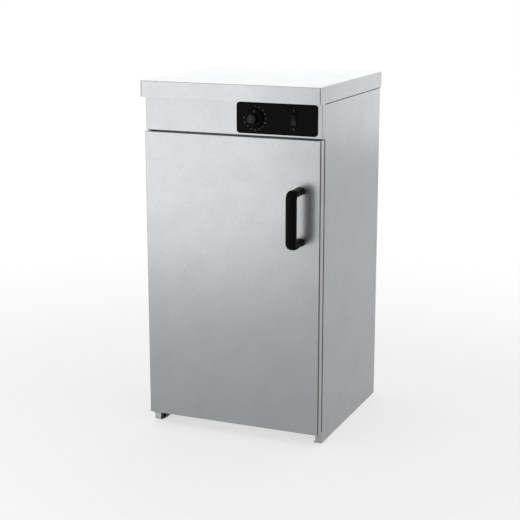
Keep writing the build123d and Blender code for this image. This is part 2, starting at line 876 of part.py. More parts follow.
def make_element_guard():
    """Slotted cover folded down on two sides that keeps plates off the element."""
    x = chamber_x - guard_side_gap
    y = (liner_front_y + guard_end_gap, liner_back_y - guard_end_gap)
    guard = block((-x, x), y, (guard_top - outer_sheet, guard_top))
    for side in (-1, 1):
        leg = sorted((side * x, side * (x - outer_sheet)))
        guard += block(leg, y, (floor_z, guard_top))
    length = y[1] - y[0] - 2 * guard_slot_margin
    width = 2 * (x - guard_slot_margin)
    columns = int((width - guard_slot_length) / guard_slot_pitch_x) + 1
    rows = int(length / guard_slot_pitch_y) + 1
    plane = Plane(origin=(0, (y[0] + y[1]) / 2, guard_top + 1))
    grid = GridLocations(guard_slot_pitch_x, guard_slot_pitch_y, columns, rows)
    outlines = Sketch() + plane * grid * SlotOverall(guard_slot_length, guard_slot_width)
    return guard - extrude(outlines, amount=-3 * outer_sheet)


def cutout_x():
    """Place of the safety cut-out along the rear wall."""
    return -terminal_half_spacing - cutout_offset


def make_safety_cutout():
    """Snap-disc limiter on the rear of the chamber wall, with a tab to each side."""
    x = cutout_x()
    top_y = liner_back_rear + cutout_height
    disc = rod((x, liner_back_rear + 1, element_z), (x, top_y, element_z), cutout_diameter)
    plate_x = around(x, cutout_flange_length)
    plate_z = around(element_z, cutout_flange_width)
    disc += block(plate_x, (liner_back_rear, liner_back_rear + cutout_flange_sheet), plate_z)
    tab_y = (top_y - 2 * overlap, top_y - 2 * overlap + tab_thickness)
    return disc + block(around(x, cutout_tab_length), tab_y, around(element_z, tab_width))


# ---------------------------------------------------------------- controls
def control_panel_shell(shrink):
    """Envelope of the folded control panel, shrunk by the sheet for its inside."""
    x = (-side_x + shrink, side_x - shrink)
    body = block(x, (panel_face_y + shrink, front_y + shrink * 3), (panel_bottom + shrink, side_top - shrink))
    uprights = body.edges().filter_by(Axis.Z).group_by(Axis.Y)[0]
    foot = body.edges().filter_by(Axis.X).group_by(Axis.Y)[0].sort_by(Axis.Z)[0]
    return fillet(list(uprights) + [foot], bend_radius - shrink * inner_bend_share)


def make_control_panel():
    """Folded front of the electrical space, open behind, cut for the thermostat and the switch."""
    panel = control_panel_shell(0) - control_panel_shell(outer_sheet)
    y = (panel_face_y - 1, panel_inner_y + 1)
    through = spindle_diameter + 2 * loose_clearance
    panel -= rod((knob_x, y[0], fascia_z), (knob_x, y[1], fascia_z), through)
    for x in thermostat_screw_places():
        panel -= countersink((x, panel_face_y, fascia_z), (0, 1, 0), outer_sheet)
    window_x = around(switch_x, switch_body_width() + 4 * hole_clearance)
    window_z = around(fascia_z, switch_body_height() + 4 * hole_clearance)
    panel -= block(window_x, y, window_z)
    pin_bore = pin_diameter + loose_clearance
    return panel - rod((pivot_x, pivot_y, panel_bottom - 1), (pivot_x, pivot_y, panel_bottom + 2), pin_bore)


def thermostat_screw_places():
    """Places of the thermostat's two screws along the panel."""
    return (knob_x - thermostat_screw_spacing / 2, knob_x + thermostat_screw_spacing / 2)


def countersink(place, direction, depth):
    """Tool for a countersunk hole through a plate whose outer face is at a place."""
    start = Vector(*place)
    run = Vector(*direction)
    bore = screw_diameter + 2 * running_clearance
    mouth = screw_head_diameter + 2 * hole_clearance
    sink = (mouth - bore) / 2
    tool = rod(tuple(start - run), tuple(start + run * (depth + 1)), bore)
    lift = 0.5
    return tool + cone(tuple(start - run * lift), tuple(start + run * sink), mouth + 2 * lift, bore)


def countersunk_screw(place, direction):
    """Countersunk screw with its flat head at a place, pointing along a direction."""
    start = Vector(*place)
    run = Vector(*direction)
    sink = (screw_head_diameter - screw_diameter) / 2
    screw = cone(tuple(start), tuple(start + run * sink), screw_head_diameter, screw_diameter)
    screw += rod(tuple(start + run * overlap), tuple(start + run * screw_length), screw_diameter)
    return screw - hexagon(tuple(start - run), tuple(start + run * sink), screw_key_size)


def make_countersunk_screws():
    """Flat-head screws of the hinge brackets and the magnetic catch."""
    screws = []
    for z in hinge_screw_heights():
        place = (hinge_screw_x(), front_y - hinge_bracket_thickness, z)
        screws.append(countersunk_screw(place, (0, 1, 0)))
    for z in catch_screw_heights():
        screws.append(countersunk_screw((catch_x(), front_y - catch_front(), z), (0, 1, 0)))
    return group(screws)


def make_thermostat_screws():
    """Short flat-head screws under the fascia that hold the thermostat."""
    screws = []
    for x in thermostat_screw_places():
        screws.append(countersunk_screw((x, panel_face_y, fascia_z), (0, 1, 0)))
    return group(screws)


def make_control_fascia():
    """Moulded rounded plate with a raised rim, holes for the spindle and the switch."""
    rounded = RectangleRounded(fascia_width, fascia_height, fascia_corner)
    outline = Plane.XZ * Pos(fascia_x, fascia_z) * rounded
    plate = moved_to((0, panel_face_y, 0), extrude(outline, amount=fascia_thickness))
    plate = fillet(plate.faces().sort_by(Axis.Y)[0].edges(), fascia_rim)
    y = (fascia_face_y - 1, panel_face_y + 1)
    through = spindle_diameter + 2 * loose_clearance
    plate -= rod((knob_x, y[0], fascia_z), (knob_x, y[1], fascia_z), through)
    window_x = around(switch_x, switch_body_width() + 2 * hole_clearance)
    window_z = around(fascia_z, switch_body_height() + 2 * hole_clearance)
    return plate - block(window_x, y, window_z)


def make_thermostat_body():
    """Capillary thermostat: front plate, case and the bore that its spindle turns in."""
    plate_y = (panel_inner_y, panel_inner_y + thermostat_plate)
    plate_z = around(fascia_z, thermostat_plate_height)
    body = block(around(knob_x, thermostat_plate_width), plate_y, plate_z)
    case_x = around(knob_x, thermostat_width)
    case_z = around(fascia_z, thermostat_height)
    body += block(case_x, (plate_y[1], thermostat_rear_y), case_z)
    tapped = screw_diameter + 2 * running_clearance
    for x in thermostat_screw_places():
        deep = panel_face_y + screw_length + 1
        body -= rod((x, plate_y[0] - 1, fascia_z), (x, deep, fascia_z), tapped)
        body -= countersink((x, panel_face_y, fascia_z), (0, 1, 0), outer_sheet)
    bore = spindle_diameter + 2 * running_clearance
    end = plate_y[0] + spindle_body_depth + running_clearance
    return body - rod((knob_x, plate_y[0] - 1, fascia_z), (knob_x, end, fascia_z), bore)


def flatted_bar(start_y, end_y, clearance):
    """Round spindle with a flat above its axis, grown all round by a clearance."""
    bar = rod((knob_x, start_y, fascia_z), (knob_x, end_y, fascia_z), spindle_diameter + 2 * clearance)
    flat_z = fascia_z + spindle_flat - spindle_diameter / 2 + clearance
    cut_x = around(knob_x, 2 * spindle_diameter)
    return bar - block(cut_x, (start_y - 1, end_y + 1), (flat_z, flat_z + spindle_diameter))


def make_thermostat_spindle():
    """Steel spindle: round where the thermostat holds it, flatted where the knob grips it."""
    front = fascia_face_y - knob_fascia_gap - spindle_knob_depth
    seat = fascia_face_y
    inner = panel_inner_y + spindle_body_depth
    round_part = rod((knob_x, seat, fascia_z), (knob_x, inner, fascia_z), spindle_diameter)
    return flatted_bar(front, seat, 0) + round_part


def make_control_knob():
    """Turned knob: flat skirt, fluted grip with a domed edge, pointer rib and a flatted bore."""
    back = fascia_face_y - knob_fascia_gap
    skirt_front = back - knob_skirt_height
    front = back - knob_height
    taper_diameter = knob_skirt_diameter - 2 * knob_skirt_taper
    knob = cone((knob_x, back, fascia_z), (knob_x, skirt_front, fascia_z),
                knob_skirt_diameter, taper_diameter)
    grip = cone((knob_x, skirt_front + 1, fascia_z), (knob_x, front, fascia_z),
                knob_grip_diameter, knob_grip_top_diameter)
    for index in range(knob_flute_count):
        turn = Rot(0, 360 * (index + 0.5) / knob_flute_count, 0)
        reach = knob_grip_diameter / 2 + knob_flute_outset
        flute = rod((reach, skirt_front, 0), (reach, front - 1, 0), knob_flute_diameter)
        grip -= moved_to((knob_x, 0, fascia_z), turn * flute)
    crown = rod((knob_x, front + knob_edge_radius, fascia_z), (knob_x, front - 1, fascia_z),
                knob_grip_top_diameter - 2 * knob_edge_radius)
    knob += grip
    knob += crown
    rib_z = (fascia_z + knob_grip_diameter / 2 - 1, fascia_z + taper_diameter / 2 - 1)
    rib_y = (skirt_front - knob_pointer_rise, skirt_front + 1)
    knob += block(around(knob_x, knob_pointer_width), rib_y, rib_z)
    return knob - flatted_bar(front + knob_height - spindle_knob_depth, back + 1, running_clearance)


def switch_body_width():
    """Width of the part of the switch that passes through the panel."""
    return switch_well_width + 2 * switch_wall


def switch_body_height():
    """Height of the part of the switch that passes through the panel."""
    return switch_well_height + 2 * switch_wall


def switch_tab_places():
    """Places of the four tabs behind the switch."""
    rises = (-tab_rise, tab_rise)
    return [(switch_x + dx, fascia_z + dz) for dx in (-tab_spread, tab_spread) for dz in rises]


def make_switch_housing():
    """Rocker switch case: bezel on the fascia, body through the panel, tabs behind."""
    bezel_y = (fascia_face_y - switch_bezel_thickness, fascia_face_y)
    bezel = block(around(switch_x, switch_bezel_width), bezel_y, around(fascia_z, switch_bezel_height))
    bezel = fillet(bezel.edges().filter_by(Axis.Y), switch_bezel_corner)
    bezel = fillet(bezel.faces().sort_by(Axis.Y)[0].edges(), switch_bezel_round)
    body_x = around(switch_x, switch_body_width())
    body_z = around(fascia_z, switch_body_height())
    bezel += block(body_x, (fascia_face_y - overlap, switch_rear_y), body_z)
    well_y = (bezel_y[0] - 1, bezel_y[0] + switch_well_depth)
    bezel -= block(around(switch_x, switch_well_width), well_y, around(fascia_z, switch_well_height))
    for x, z in switch_tab_places():
        tab_y = (switch_rear_y - 1, switch_rear_y + tab_length)
        tab = block(around(x, tab_thickness), tab_y, around(z, tab_width))
        bezel += tab
    pin_x = around(switch_x, switch_body_width() - 2 * overlap)
    pivot = fascia_face_y + rocker_pivot_depth
    return bezel + rod((pin_x[0], pivot, fascia_z), (pin_x[1], pivot, fascia_z), rocker_pin_diameter)


def make_switch_rocker():
    """Two-faced rocker on the housing's cross pin, resting with its lower face pressed in."""
    pivot = fascia_face_y + rocker_pivot_depth
    half = switch_well_height / 2 - rocker_clearance
    width = switch_well_width - 2 * rocker_clearance
    ends = (switch_x - width / 2, switch_x + width / 2)
    rocker = rod((ends[0], pivot, fascia_z), (ends[1], pivot, fascia_z), 2 * half)
    x = (ends[0] - 1, ends[1] + 1)
    rocker -= block(x, (pivot + rocker_back, pivot + 2 * half), around(fascia_z, 4 * half))
    for sign in (-1, 1):
        wedge = block(x, (-3 * half, -rocker_front), sorted((0, sign * 3 * half)))
        rocker -= moved_to((0, pivot, fascia_z), Rot(sign * rocker_face_angle, 0, 0) * wedge)
    rocker -= rod((x[0], pivot, fascia_z), (x[1], pivot, fascia_z), 2.0 + 2 * running_clearance)
    tilt = Pos(0, pivot, fascia_z) * Rot(rocker_face_angle, 0, 0) * Pos(0, -pivot, -fascia_z)
    return tilt * rocker


def bulb_line():
    """Axis of the sensing bulb under the ceiling: its x, its front and rear end and its height."""
    x = chamber_x - bulb_from_right
    front = liner_front_y + bulb_from_front
    return x, front, front + bulb_length, ceiling_z - bulb_drop


def capillary_entry():
    """Where the capillary tube comes down through the ceiling."""
    x, front, _, _ = bulb_line()
    return x, front - capillary_entry_gap


def make_capillary_bulb():
    """Sensing bulb under the ceiling and the capillary that joins it to the thermostat."""
    x, front, rear, z = bulb_line()
    entry_y = front - capillary_entry_gap
    high = fascia_z - thermostat_height / 2 + capillary_diameter * 2
    start_x = knob_x + thermostat_width / 4
    turn_y = thermostat_rear_y + 3 * lead_bend
    step_y = (turn_y + entry_y) / 2
    points = [
        (start_x, thermostat_rear_y, high),
        (start_x, turn_y, high),
        (x, step_y, high),
        (x, entry_y, high),
        (x, entry_y, z),
        (x, front + 1, z),
    ]
    line = tube_along(points, capillary_diameter, capillary_bend)
    bulb = rod((x, front, z), (x, rear, z), bulb_diameter)
    bulb = fillet(bulb.edges(), bulb_end_radius)
    return line + bulb


def make_bulb_clips():
    """Two strap clips that hang the bulb from the chamber ceiling."""
    x, front, rear, z = bulb_line()
    bore = bulb_diameter + 2 * running_clearance
    outer = bore + 2 * clip_thickness
    clips = []
    for y in (front + bulb_length / 4, rear - bulb_length / 4):
        width = around(y, clip_width)
        clip = rod((x, width[0], z), (x, width[1], z), outer)
        clip += block((x, x + outer / 2), width, (z, ceiling_z))
        clip -= rod((x, width[0] - 1, z), (x, width[1] + 1, z), bore)
        cavity = block((x, x + outer / 2 - clip_thickness), width, (z, ceiling_z - clip_thickness))
        clip -= cavity
        clip += block((x, x + outer / 2 + clip_foot), width, (ceiling_z - clip_thickness, ceiling_z))
        clips.append(clip)
    return group(clips)


# ---------------------------------------------------------------- wiring
def duct_centre_x():
    """Middle of the two leads that run up the hinge-side rear corner."""
    return duct_x + duct_spacing / 2


def earth_place():
    """Place of the earth stud on the tray."""
    return block_x + block_width / 2 + earth_nut_size, block_y - earth_from_block


def gland_x():
    """Place of the cord gland across the back."""
    return side_x - gland_from_right - block_width / 2


def gland_z():
    """Height of the cord gland."""
    return side_top - gland_drop


def make_terminal_block():
    """Three-pole block on the tray with its clamp screws' wells open upwards."""
    z = (tray_top, tray_top + block_height)
    body = block(around(block_x, block_width), around(block_y, block_depth), z)
    body = fillet(body.edges().filter_by(Axis.Z), block_corner)
    for pole in (-1, 0, 1):
        x = block_x + pole * block_pole_pitch
        for dy in (-block_depth / 4, block_depth / 4):
            body -= rod((x, block_y + dy, lead_z), (x, block_y + dy, z[1] + 1), block_screw_diameter)
    return body


def make_earth_stud():
    """Threaded stud through the tray with its nut."""
    x, y = earth_place()
    stud = rod((x, y, header_top), (x, y, header_top + earth_stud_length), screw_diameter)
    nut = hexagon((x, y, tray_top), (x, y, tray_top + earth_nut_height), earth_nut_size)
    return stud + nut


def make_cord_gland():
    """Cord gland in the back panel: hexagon and dome outside, thread and locknut inside."""
    x, z = gland_x(), gland_z()
    hex_end = back_y + gland_hex_height
    body = hexagon((x, back_y, z), (x, hex_end, z), gland_hex)
    dome_end = hex_end + gland_dome_height
    dome = cone((x, hex_end, z), (x, dome_end, z), gland_dome_base, gland_dome_tip)
    body += fillet(dome.faces().sort_by(Axis.Y)[-1].edges(), gland_dome_round)
    inner_end = back_inner_y - gland_inner_length
    body += rod((x, hex_end - 1, z), (x, inner_end, z), gland_thread)
    bore = rod((x, inner_end - 1, z), (x, dome_end + 1, z), gland_bore)
    body -= bore
    nut = hexagon((x, back_inner_y, z), (x, back_inner_y - gland_nut_height, z), gland_hex)
    nut -= rod((x, back_inner_y + 1, z), (x, inner_end, z), gland_thread + 2 * running_clearance)
    return group([body, nut])


def make_control_leads():
    """Insulated leads inside the electrical space: supply, return, link and earth."""
    tab_end = switch_rear_y + tab_length
    block_front = block_y - block_depth / 2
    left_tab = switch_x - tab_spread
    right_tab = switch_x + tab_spread
    low_z = fascia_z - tab_rise
    high_z = fascia_z + tab_rise
    link_y = tab_end + 3 * lead_bend
    link_x = knob_x + thermostat_width / 4
    supply_x = block_x - block_pole_pitch
    earth = earth_place()
    earth_x = block_x + block_pole_pitch
    rise_start = block_front - 3 * lead_bend
    rise_end = rise_start - lead_rise_run
    supply = [(supply_x, block_front, lead_z), (supply_x, rise_start, lead_z),
              (right_tab, rise_end, high_z), (right_tab, tab_end, high_z)]
    returning = [(block_x, block_front, lead_z), (block_x, rise_start, lead_z),
                 (right_tab, rise_end, low_z), (right_tab, tab_end, low_z)]
    link = [(left_tab, tab_end, high_z), (left_tab, link_y, high_z),
            (link_x, link_y, high_z), (link_x, thermostat_rear_y, high_z)]
    nut_z = tray_top + earth_nut_height + lead_diameter / 2
    earth_line = [(earth_x, block_front, lead_z), (earth_x, block_front - earth_first_run, lead_z),
                  (earth[0], block_front - earth_second_run, nut_z),
                  (earth[0], earth[1] + screw_diameter / 2, nut_z)]
    tubes = [tube_along(points, lead_diameter, lead_bend) for points in (supply, returning, link)]
    tubes.append(tube_along(earth_line, lead_diameter, earth_bend))
    return group(tubes)


def make_heater_leads():
    """Leads from the element up the rear corner to the thermostat and the switch."""
    tail_y = liner_back_rear + element_tail
    y = tail_y - element_tab_thickness / 2
    root = element_diameter / 2 - 1
    left_tab = -terminal_half_spacing - root - element_tab_length
    right_tab = element_z + root + element_tab_length
    half_tab = cutout_tab_length / 2
    upper = fascia_z + tab_rise
    lower = fascia_z - tab_rise
    cross_y = thermostat_rear_y + lead_rise_run
    near = [(left_tab, y, element_z), (cutout_x() + half_tab, y, element_z)]
    far = [(cutout_x() - half_tab, y, element_z), (duct_x, y, element_z), (duct_x, y, upper),
           (duct_x, cross_y, upper), (knob_x - thermostat_width / 4, cross_y, upper),
           (knob_x - thermostat_width / 4, thermostat_rear_y, upper)]
    inner_x = duct_x + duct_spacing
    level = right_tab + lead_bend + lead_crossing
    tab_end = switch_rear_y + tab_length
    second = [(terminal_half_spacing, y, right_tab), (terminal_half_spacing, y, level),
              (inner_x, y, level), (inner_x, y, lower), (inner_x, cross_y + lead_bend, lower),
              (switch_x - tab_spread, cross_y + lead_bend, lower), (switch_x - tab_spread, tab_end, lower)]
    tubes = [rod(near[0], near[1], lead_diameter)]
    tubes.append(tube_along(far, lead_diameter, lead_bend))
    tubes.append(tube_along(second, lead_diameter, lead_bend))
    return group(tubes)


# ---------------------------------------------------------------- door
def door_tray(shrink):
    """Envelope of the door's outer skin, shrunk by the sheet for its inside."""
    x = (-side_x + shrink, side_x - shrink)
    body = block(x, (door_face_y + shrink, door_back_y + shrink), (door_bottom + shrink, door_top - shrink))
    return fillet(body.faces().sort_by(Axis.Y)[0].edges(), bend_radius - shrink * inner_bend_share)


def handle_screw_places():
    """Heights of the handle's two screws."""
    return (handle_z - handle_hole_spacing / 2, handle_z + handle_hole_spacing / 2)


def make_door_outer_skin():
    """Outer door skin: face with four edges folded back, holes for the handle and the pivots."""
    skin = door_tray(0) - door_tray(outer_sheet)
    bore = handle_screw_diameter + 2 * hole_clearance
    for z in handle_screw_places():
        skin -= rod((handle_x, door_face_y - 1, z), (handle_x, door_face_y + 2, z), bore)
    bush_bore = bush_diameter + 2 * running_clearance
    for z in (door_bottom, door_top):
        skin -= rod((pivot_x, pivot_y, z - 2), (pivot_x, pivot_y, z + 2), bush_bore)
    return skin


def make_door_inner_pan():
    """Inner door sheet with flanges inside the skin, cut away around the hinge plates."""
    half = web_x - assembly_gap / 2
    low = door_bottom + outer_sheet + assembly_gap / 2
    high = door_top - outer_sheet - assembly_gap / 2
    y = (pan_face_y - pan_flange, door_back_y)
    pan = block((-half, half), y, (low, high))
    inner = half - pan_sheet
    pan -= block((-inner, inner), (y[0] - 1, pan_face_y), (low + pan_sheet, high - pan_sheet))
    notch_x = (-inner, -inner + hinge_plate_length + 2 * assembly_gap)
    for z in ((low - 1, low + pan_sheet), (high - pan_sheet, high + 1)):
        pan -= block(notch_x, (y[0] - 1, pan_face_y), z)
    bush_bore = bush_diameter + 2 * hole_clearance
    return pan - rod((pivot_x, pivot_y, low - 1), (pivot_x, pivot_y, low + pan_sheet), bush_bore)


def make_hinge_plates():
    """Reinforcing plates inside the skin's top and bottom folds, bored for the bushes."""
    x = (-web_x + assembly_gap + pan_sheet, -web_x + assembly_gap + pan_sheet + hinge_plate_length)
    y = (door_face_y + outer_sheet + bend_radius, pan_face_y - assembly_gap)
    bottom = (door_bottom + outer_sheet, door_bottom + outer_sheet + hinge_plate_thickness)
    top = (door_top - outer_sheet - hinge_plate_thickness, door_top - outer_sheet)
    bore = bush_diameter + 2 * running_clearance
    plates = []
    for z in (bottom, top):
        plate = block(x, y, z)
        plates.append(plate - rod((pivot_x, pivot_y, z[0] - 1), (pivot_x, pivot_y, z[1] + 1), bore))
    return group(plates)


def make_hinge_bushes():
    """Flanged plastic bushes in the door's bottom and top that turn on the pins."""
    bushes = []
    for z, inward in ((door_bottom, 1), (door_top, -1)):
        outer = z - inward * bush_flange
        inner = z + inward * bush_length
        bush = rod((pivot_x, pivot_y, outer), (pivot_x, pivot_y, z), bush_flange_diameter)
        bush += rod((pivot_x, pivot_y, outer), (pivot_x, pivot_y, inner), bush_diameter)
        bore = pin_diameter + 2 * running_clearance
        reach = inward * 2
        bush -= rod((pivot_x, pivot_y, outer - reach), (pivot_x, pivot_y, inner + reach), bore)
        bushes.append(bush)
    return group(bushes)


def lower_bracket_top():
    """Height of the face that the door's lower bush turns on."""
    return door_bottom - bush_flange - bush_seat_gap


def bracket_plate(z):
    """Level plate of a hinge bracket with a rounded nose around the pin."""
    x = (-web_x + assembly_gap, -web_x + hinge_bracket_width)
    plate = block(x, (pivot_y, front_y), z)
    nose = rod((pivot_x, pivot_y, z[0]), (pivot_x, pivot_y, z[1]), 2 * hinge_bracket_nose)
    bore = pin_diameter + 2 * running_clearance
    hole = rod((pivot_x, pivot_y, z[0] - 1), (pivot_x, pivot_y, z[1] + 1), bore)
    return plate + nose - hole


def bracket_leg(z):
    """Upright leg of a hinge bracket against the side flange."""
    x = (-web_x + assembly_gap, -web_x + hinge_bracket_width)
    return block(x, (front_y - hinge_bracket_thickness, front_y), z)


def make_hinge_bracket_upper():
    """Angle bracket inside the foot of the control panel that holds the upper pin."""
    low = panel_bottom + outer_sheet
    bracket = bracket_plate((low, low + hinge_bracket_thickness))
    bracket += bracket_leg((low, low + hinge_bracket_thickness + upper_bracket_leg))
    for z in hinge_screw_heights()[:2]:
        place = (hinge_screw_x(), front_y - hinge_bracket_thickness, z)
        bracket -= countersink(place, (0, 1, 0), hinge_bracket_thickness)
    return bracket


def make_hinge_bracket_lower():
    """Angle bracket on the foot of the hinge-side panel that carries the door's weight."""
    top = lower_bracket_top()
    low = top - hinge_bracket_thickness
    bracket = bracket_plate((low, top)) + bracket_leg((low - lower_bracket_leg, top))
    for z in hinge_screw_heights()[2:]:
        place = (hinge_screw_x(), front_y - hinge_bracket_thickness, z)
        bracket -= countersink(place, (0, 1, 0), hinge_bracket_thickness)
    return bracket


def make_hinge_pins():
    """Headed pivot pins of the lower and the upper bracket."""
    lower = lower_bracket_top() - hinge_bracket_thickness
    upper = panel_bottom + outer_sheet + hinge_bracket_thickness
    pins = []
    for seat, direction in ((lower, 1), (upper, -1)):
        head_end = seat - direction * pin_head_height
        pin = rod((pivot_x, pivot_y, head_end), (pivot_x, pivot_y, seat), pin_head_diameter)
        tip = seat + direction * pin_length
        pin += rod((pivot_x, pivot_y, head_end), (pivot_x, pivot_y, tip), pin_diameter)
        pins.append(pin)
    return group(pins)


def make_door_insulation():
    """Mineral wool slab in the door with pockets for the hinge parts and the handle screws."""
    half = web_x - assembly_gap - pan_sheet - soft_clearance
    y = (door_face_y + outer_sheet + soft_clearance, pan_face_y - soft_clearance)
    low = door_bottom + outer_sheet + hinge_plate_thickness + soft_clearance
    high = door_top - outer_sheet - hinge_plate_thickness - soft_clearance
    slab = block((-half, half), y, (low, high))
    pocket_x = (-half - 1, pivot_x + bush_flange_diameter)
    depth = bush_length + pin_diameter
    slab -= block(pocket_x, (y[0] - 1, y[1] + 1), (low - 1, door_bottom + depth))
    slab -= block(pocket_x, (y[0] - 1, y[1] + 1), (door_top - depth, high + 1))
    for z in handle_screw_places():
        end = door_face_y + outer_sheet + handle_screw_head_height + 1
        slab -= rod((handle_x, y[0] - 1, z), (handle_x, end, z), handle_screw_head + 4)
    return slab


def make_door_gasket():
    """Rubber frame on the door pan that closes on the chamber's front flanges."""
    outer_x = flange_x - gasket_margin
    inner_x = chamber_x + gasket_margin
    outer_z = (floor_z - reveal + gasket_margin, ceiling_z + reveal - gasket_margin)
    inner_z = (floor_z - gasket_margin, ceiling_z + gasket_margin)
    y = (door_back_y, liner_front_y - gasket_squeeze_gap)
    ring = block((-outer_x, outer_x), y, outer_z) - block((-inner_x, inner_x), y, inner_z)
    return fillet(ring.faces().sort_by(Axis.Y)[-1].edges(), gasket_nose_radius)


def make_door_handle():
    """Bow handle: one rounded bar bent out of the door, across and back, bored for its screws."""
    low, high = handle_screw_places()
    out_y = door_face_y - handle_standoff
    points = [(handle_x, door_face_y, low), (handle_x, out_y, low),
              (handle_x, out_y, high), (handle_x, door_face_y, high)]
    path = FilletPolyline(*points, radius=handle_bend_radius)
    plane = Plane(origin=path @ 0, x_dir=(1, 0, 0), z_dir=path % 0)
    section = plane * RectangleRounded(handle_width, handle_section, handle_edge_radius)
    bar = sweep(section, path=path)
    bore = handle_screw_diameter + 2 * running_clearance
    depth = handle_screw_length + 1
    for z in (low, high):
        bar -= rod((handle_x, door_face_y + 1, z), (handle_x, door_face_y - depth, z), bore)
    return bar


def make_handle_screws():
    """Screws through the outer skin into the handle's ends."""
    screws = []
    seat = door_face_y + outer_sheet
    for z in handle_screw_places():
        head = rod((handle_x, seat, z), (handle_x, seat + handle_screw_head_height, z), handle_screw_head)
        tip = door_face_y - handle_screw_length
        screws.append(head + rod((handle_x, seat + 1, z), (handle_x, tip, z), handle_screw_diameter))
    return group(screws)


# ---------------------------------------------------------------- magnetic catch
def catch_x():
    """Middle of the magnetic catch, in the room between the liner flange and the side."""
    return (flange_out_x + web_x) / 2


def catch_front():
    """How far the catch stands in front of the side flange."""
    return door_gap - strike_thickness - catch_air_gap


def catch_screw_heights():
    """Heights of the catch's two screws."""
    reach = (catch_length + catch_body_length) / 4
    return (handle_z - reach, handle_z + reach)


def make_catch_housing():
    """Moulded catch body through the side flange, with screw ears and a pocket for the magnet."""
    front = front_y - catch_front()
    ear_x = around(catch_x(), catch_flange_width - 2 * assembly_gap)
    housing = block(ear_x, (front, front_y), around(handle_z, catch_length))
    body_x = around(catch_x(), catch_body_width)
    housing += block(body_x, (front, front_y + catch_body_depth), around(handle_z, catch_body_length))
    pocket_y = (front - 1, front + magnet_depth + assembly_gap)
    pocket_x = around(catch_x(), magnet_width + 2 * assembly_gap)
    housing -= block(pocket_x, pocket_y, around(handle_z, magnet_length + 2 * assembly_gap))
    for z in catch_screw_heights():
        housing -= countersink((catch_x(), front, z), (0, 1, 0), catch_front())
    return housing


def make_catch_magnet():
    """Bar magnet in the catch, level with its front."""
    front = front_y - catch_front()
    y = (front, front + magnet_depth)
    return block(around(catch_x(), magnet_width), y, around(handle_z, magnet_length))


def make_catch_strike():
    """Steel plate on the door pan that the magnet pulls."""
    x = around(catch_x(), strike_width)
    return block(x, (door_back_y, door_back_y + strike_thickness), around(handle_z, strike_length))


# ---------------------------------------------------------------- the whole cabinet
def make_parts():
    """Every node of the cabinet by name."""
    side_right = make_side_panel_right()
    liner_left = make_liner_left()
    insulation_left = make_insulation_left()
    runners_left = make_runners_left()
    parts = {
        "worktop": make_worktop(),
        "pan_head_screws": make_pan_head_screws(),
        "side_panel_left": cut_hinge_holes(other_side(side_right)),
        "side_panel_right": cut_catch_window(side_right),
        "back_panel": make_back_panel(),
        "base_panel": make_base_panel(),
        "sill_rail": make_sill_rail(),
        "header_rail": make_header_rail(),
        "service_tray": make_service_tray(),
        "floor_glides": make_floor_glides(),
        "liner_left": liner_left,
        "liner_right": other_side(liner_left),
        "liner_back": make_liner_back(),
        "liner_floor": make_liner_floor(),
        "liner_ceiling": make_liner_ceiling(),
        "insulation_left": insulation_left,
        "insulation_right": other_side(insulation_left),
        "insulation_back": make_insulation_back(),
        "insulation_top": make_insulation_top(),
        "insulation_bottom": make_insulation_bottom(),
        "runners_left": runners_left,
        "runners_right": group([other_side(solid) for solid in runners_left.solids()]),
        "heating_element": make_heating_element(),
        "element_bushes": make_element_bushes(),
        "element_supports": make_element_supports(),
        "element_guard": make_element_guard(),
        "safety_cutout": make_safety_cutout(),
        "control_panel": make_control_panel(),
        "control_fascia": make_control_fascia(),
        "thermostat_body": make_thermostat_body(),
        "thermostat_screws": make_thermostat_screws(),
        "thermostat_spindle": make_thermostat_spindle(),
        "control_knob": make_control_knob(),
        "switch_housing": make_switch_housing(),
        "switch_rocker": make_switch_rocker(),
        "capillary_bulb": make_capillary_bulb(),
        "bulb_clips": make_bulb_clips(),
        "terminal_block": make_terminal_block(),
        "earth_stud": make_earth_stud(),
        "cord_gland": make_cord_gland(),
        "control_leads": make_control_leads(),
        "heater_leads": make_heater_leads(),
        "door_outer_skin": make_door_outer_skin(),
        "door_inner_pan": make_door_inner_pan(),
        "door_insulation": make_door_insulation(),
        "door_gasket": make_door_gasket(),
        "door_handle": make_door_handle(),
        "handle_screws": make_handle_screws(),
        "hinge_plates": make_hinge_plates(),
        "hinge_bushes": make_hinge_bushes(),
        "hinge_bracket_upper": make_hinge_bracket_upper(),
        "hinge_bracket_lower": make_hinge_bracket_lower(),
        "hinge_pins": make_hinge_pins(),
        "countersunk_screws": make_countersunk_screws(),
        "catch_housing": make_catch_housing(),
        "catch_magnet": make_catch_magnet(),
        "catch_strike": make_catch_strike(),
    }
    for index, name in enumerate(("shelf_lower", "shelf_middle", "shelf_upper")):
        parts[name] = shelf_at(index)
    return parts


os.makedirs("parts", exist_ok=True)
for name, shape in make_parts().items():
    export_step(shape, f"parts/{name}.step")
    print(name, len(shape.solids()))
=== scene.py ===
# %% [markdown]
# # A plate warmer cabinet
# A plate warmer is a heated steel cupboard that keeps stacks of plates warm beside a serving counter.
# The measured assembly comes in as fixed meshes, one per real part. This notebook adds what measured
# solids lack: finishes worked out from the real materials, and finer surfaces for the pieces that a
# person looks at and touches. Every mesh is in metres, with +Z up and the door facing -Y.

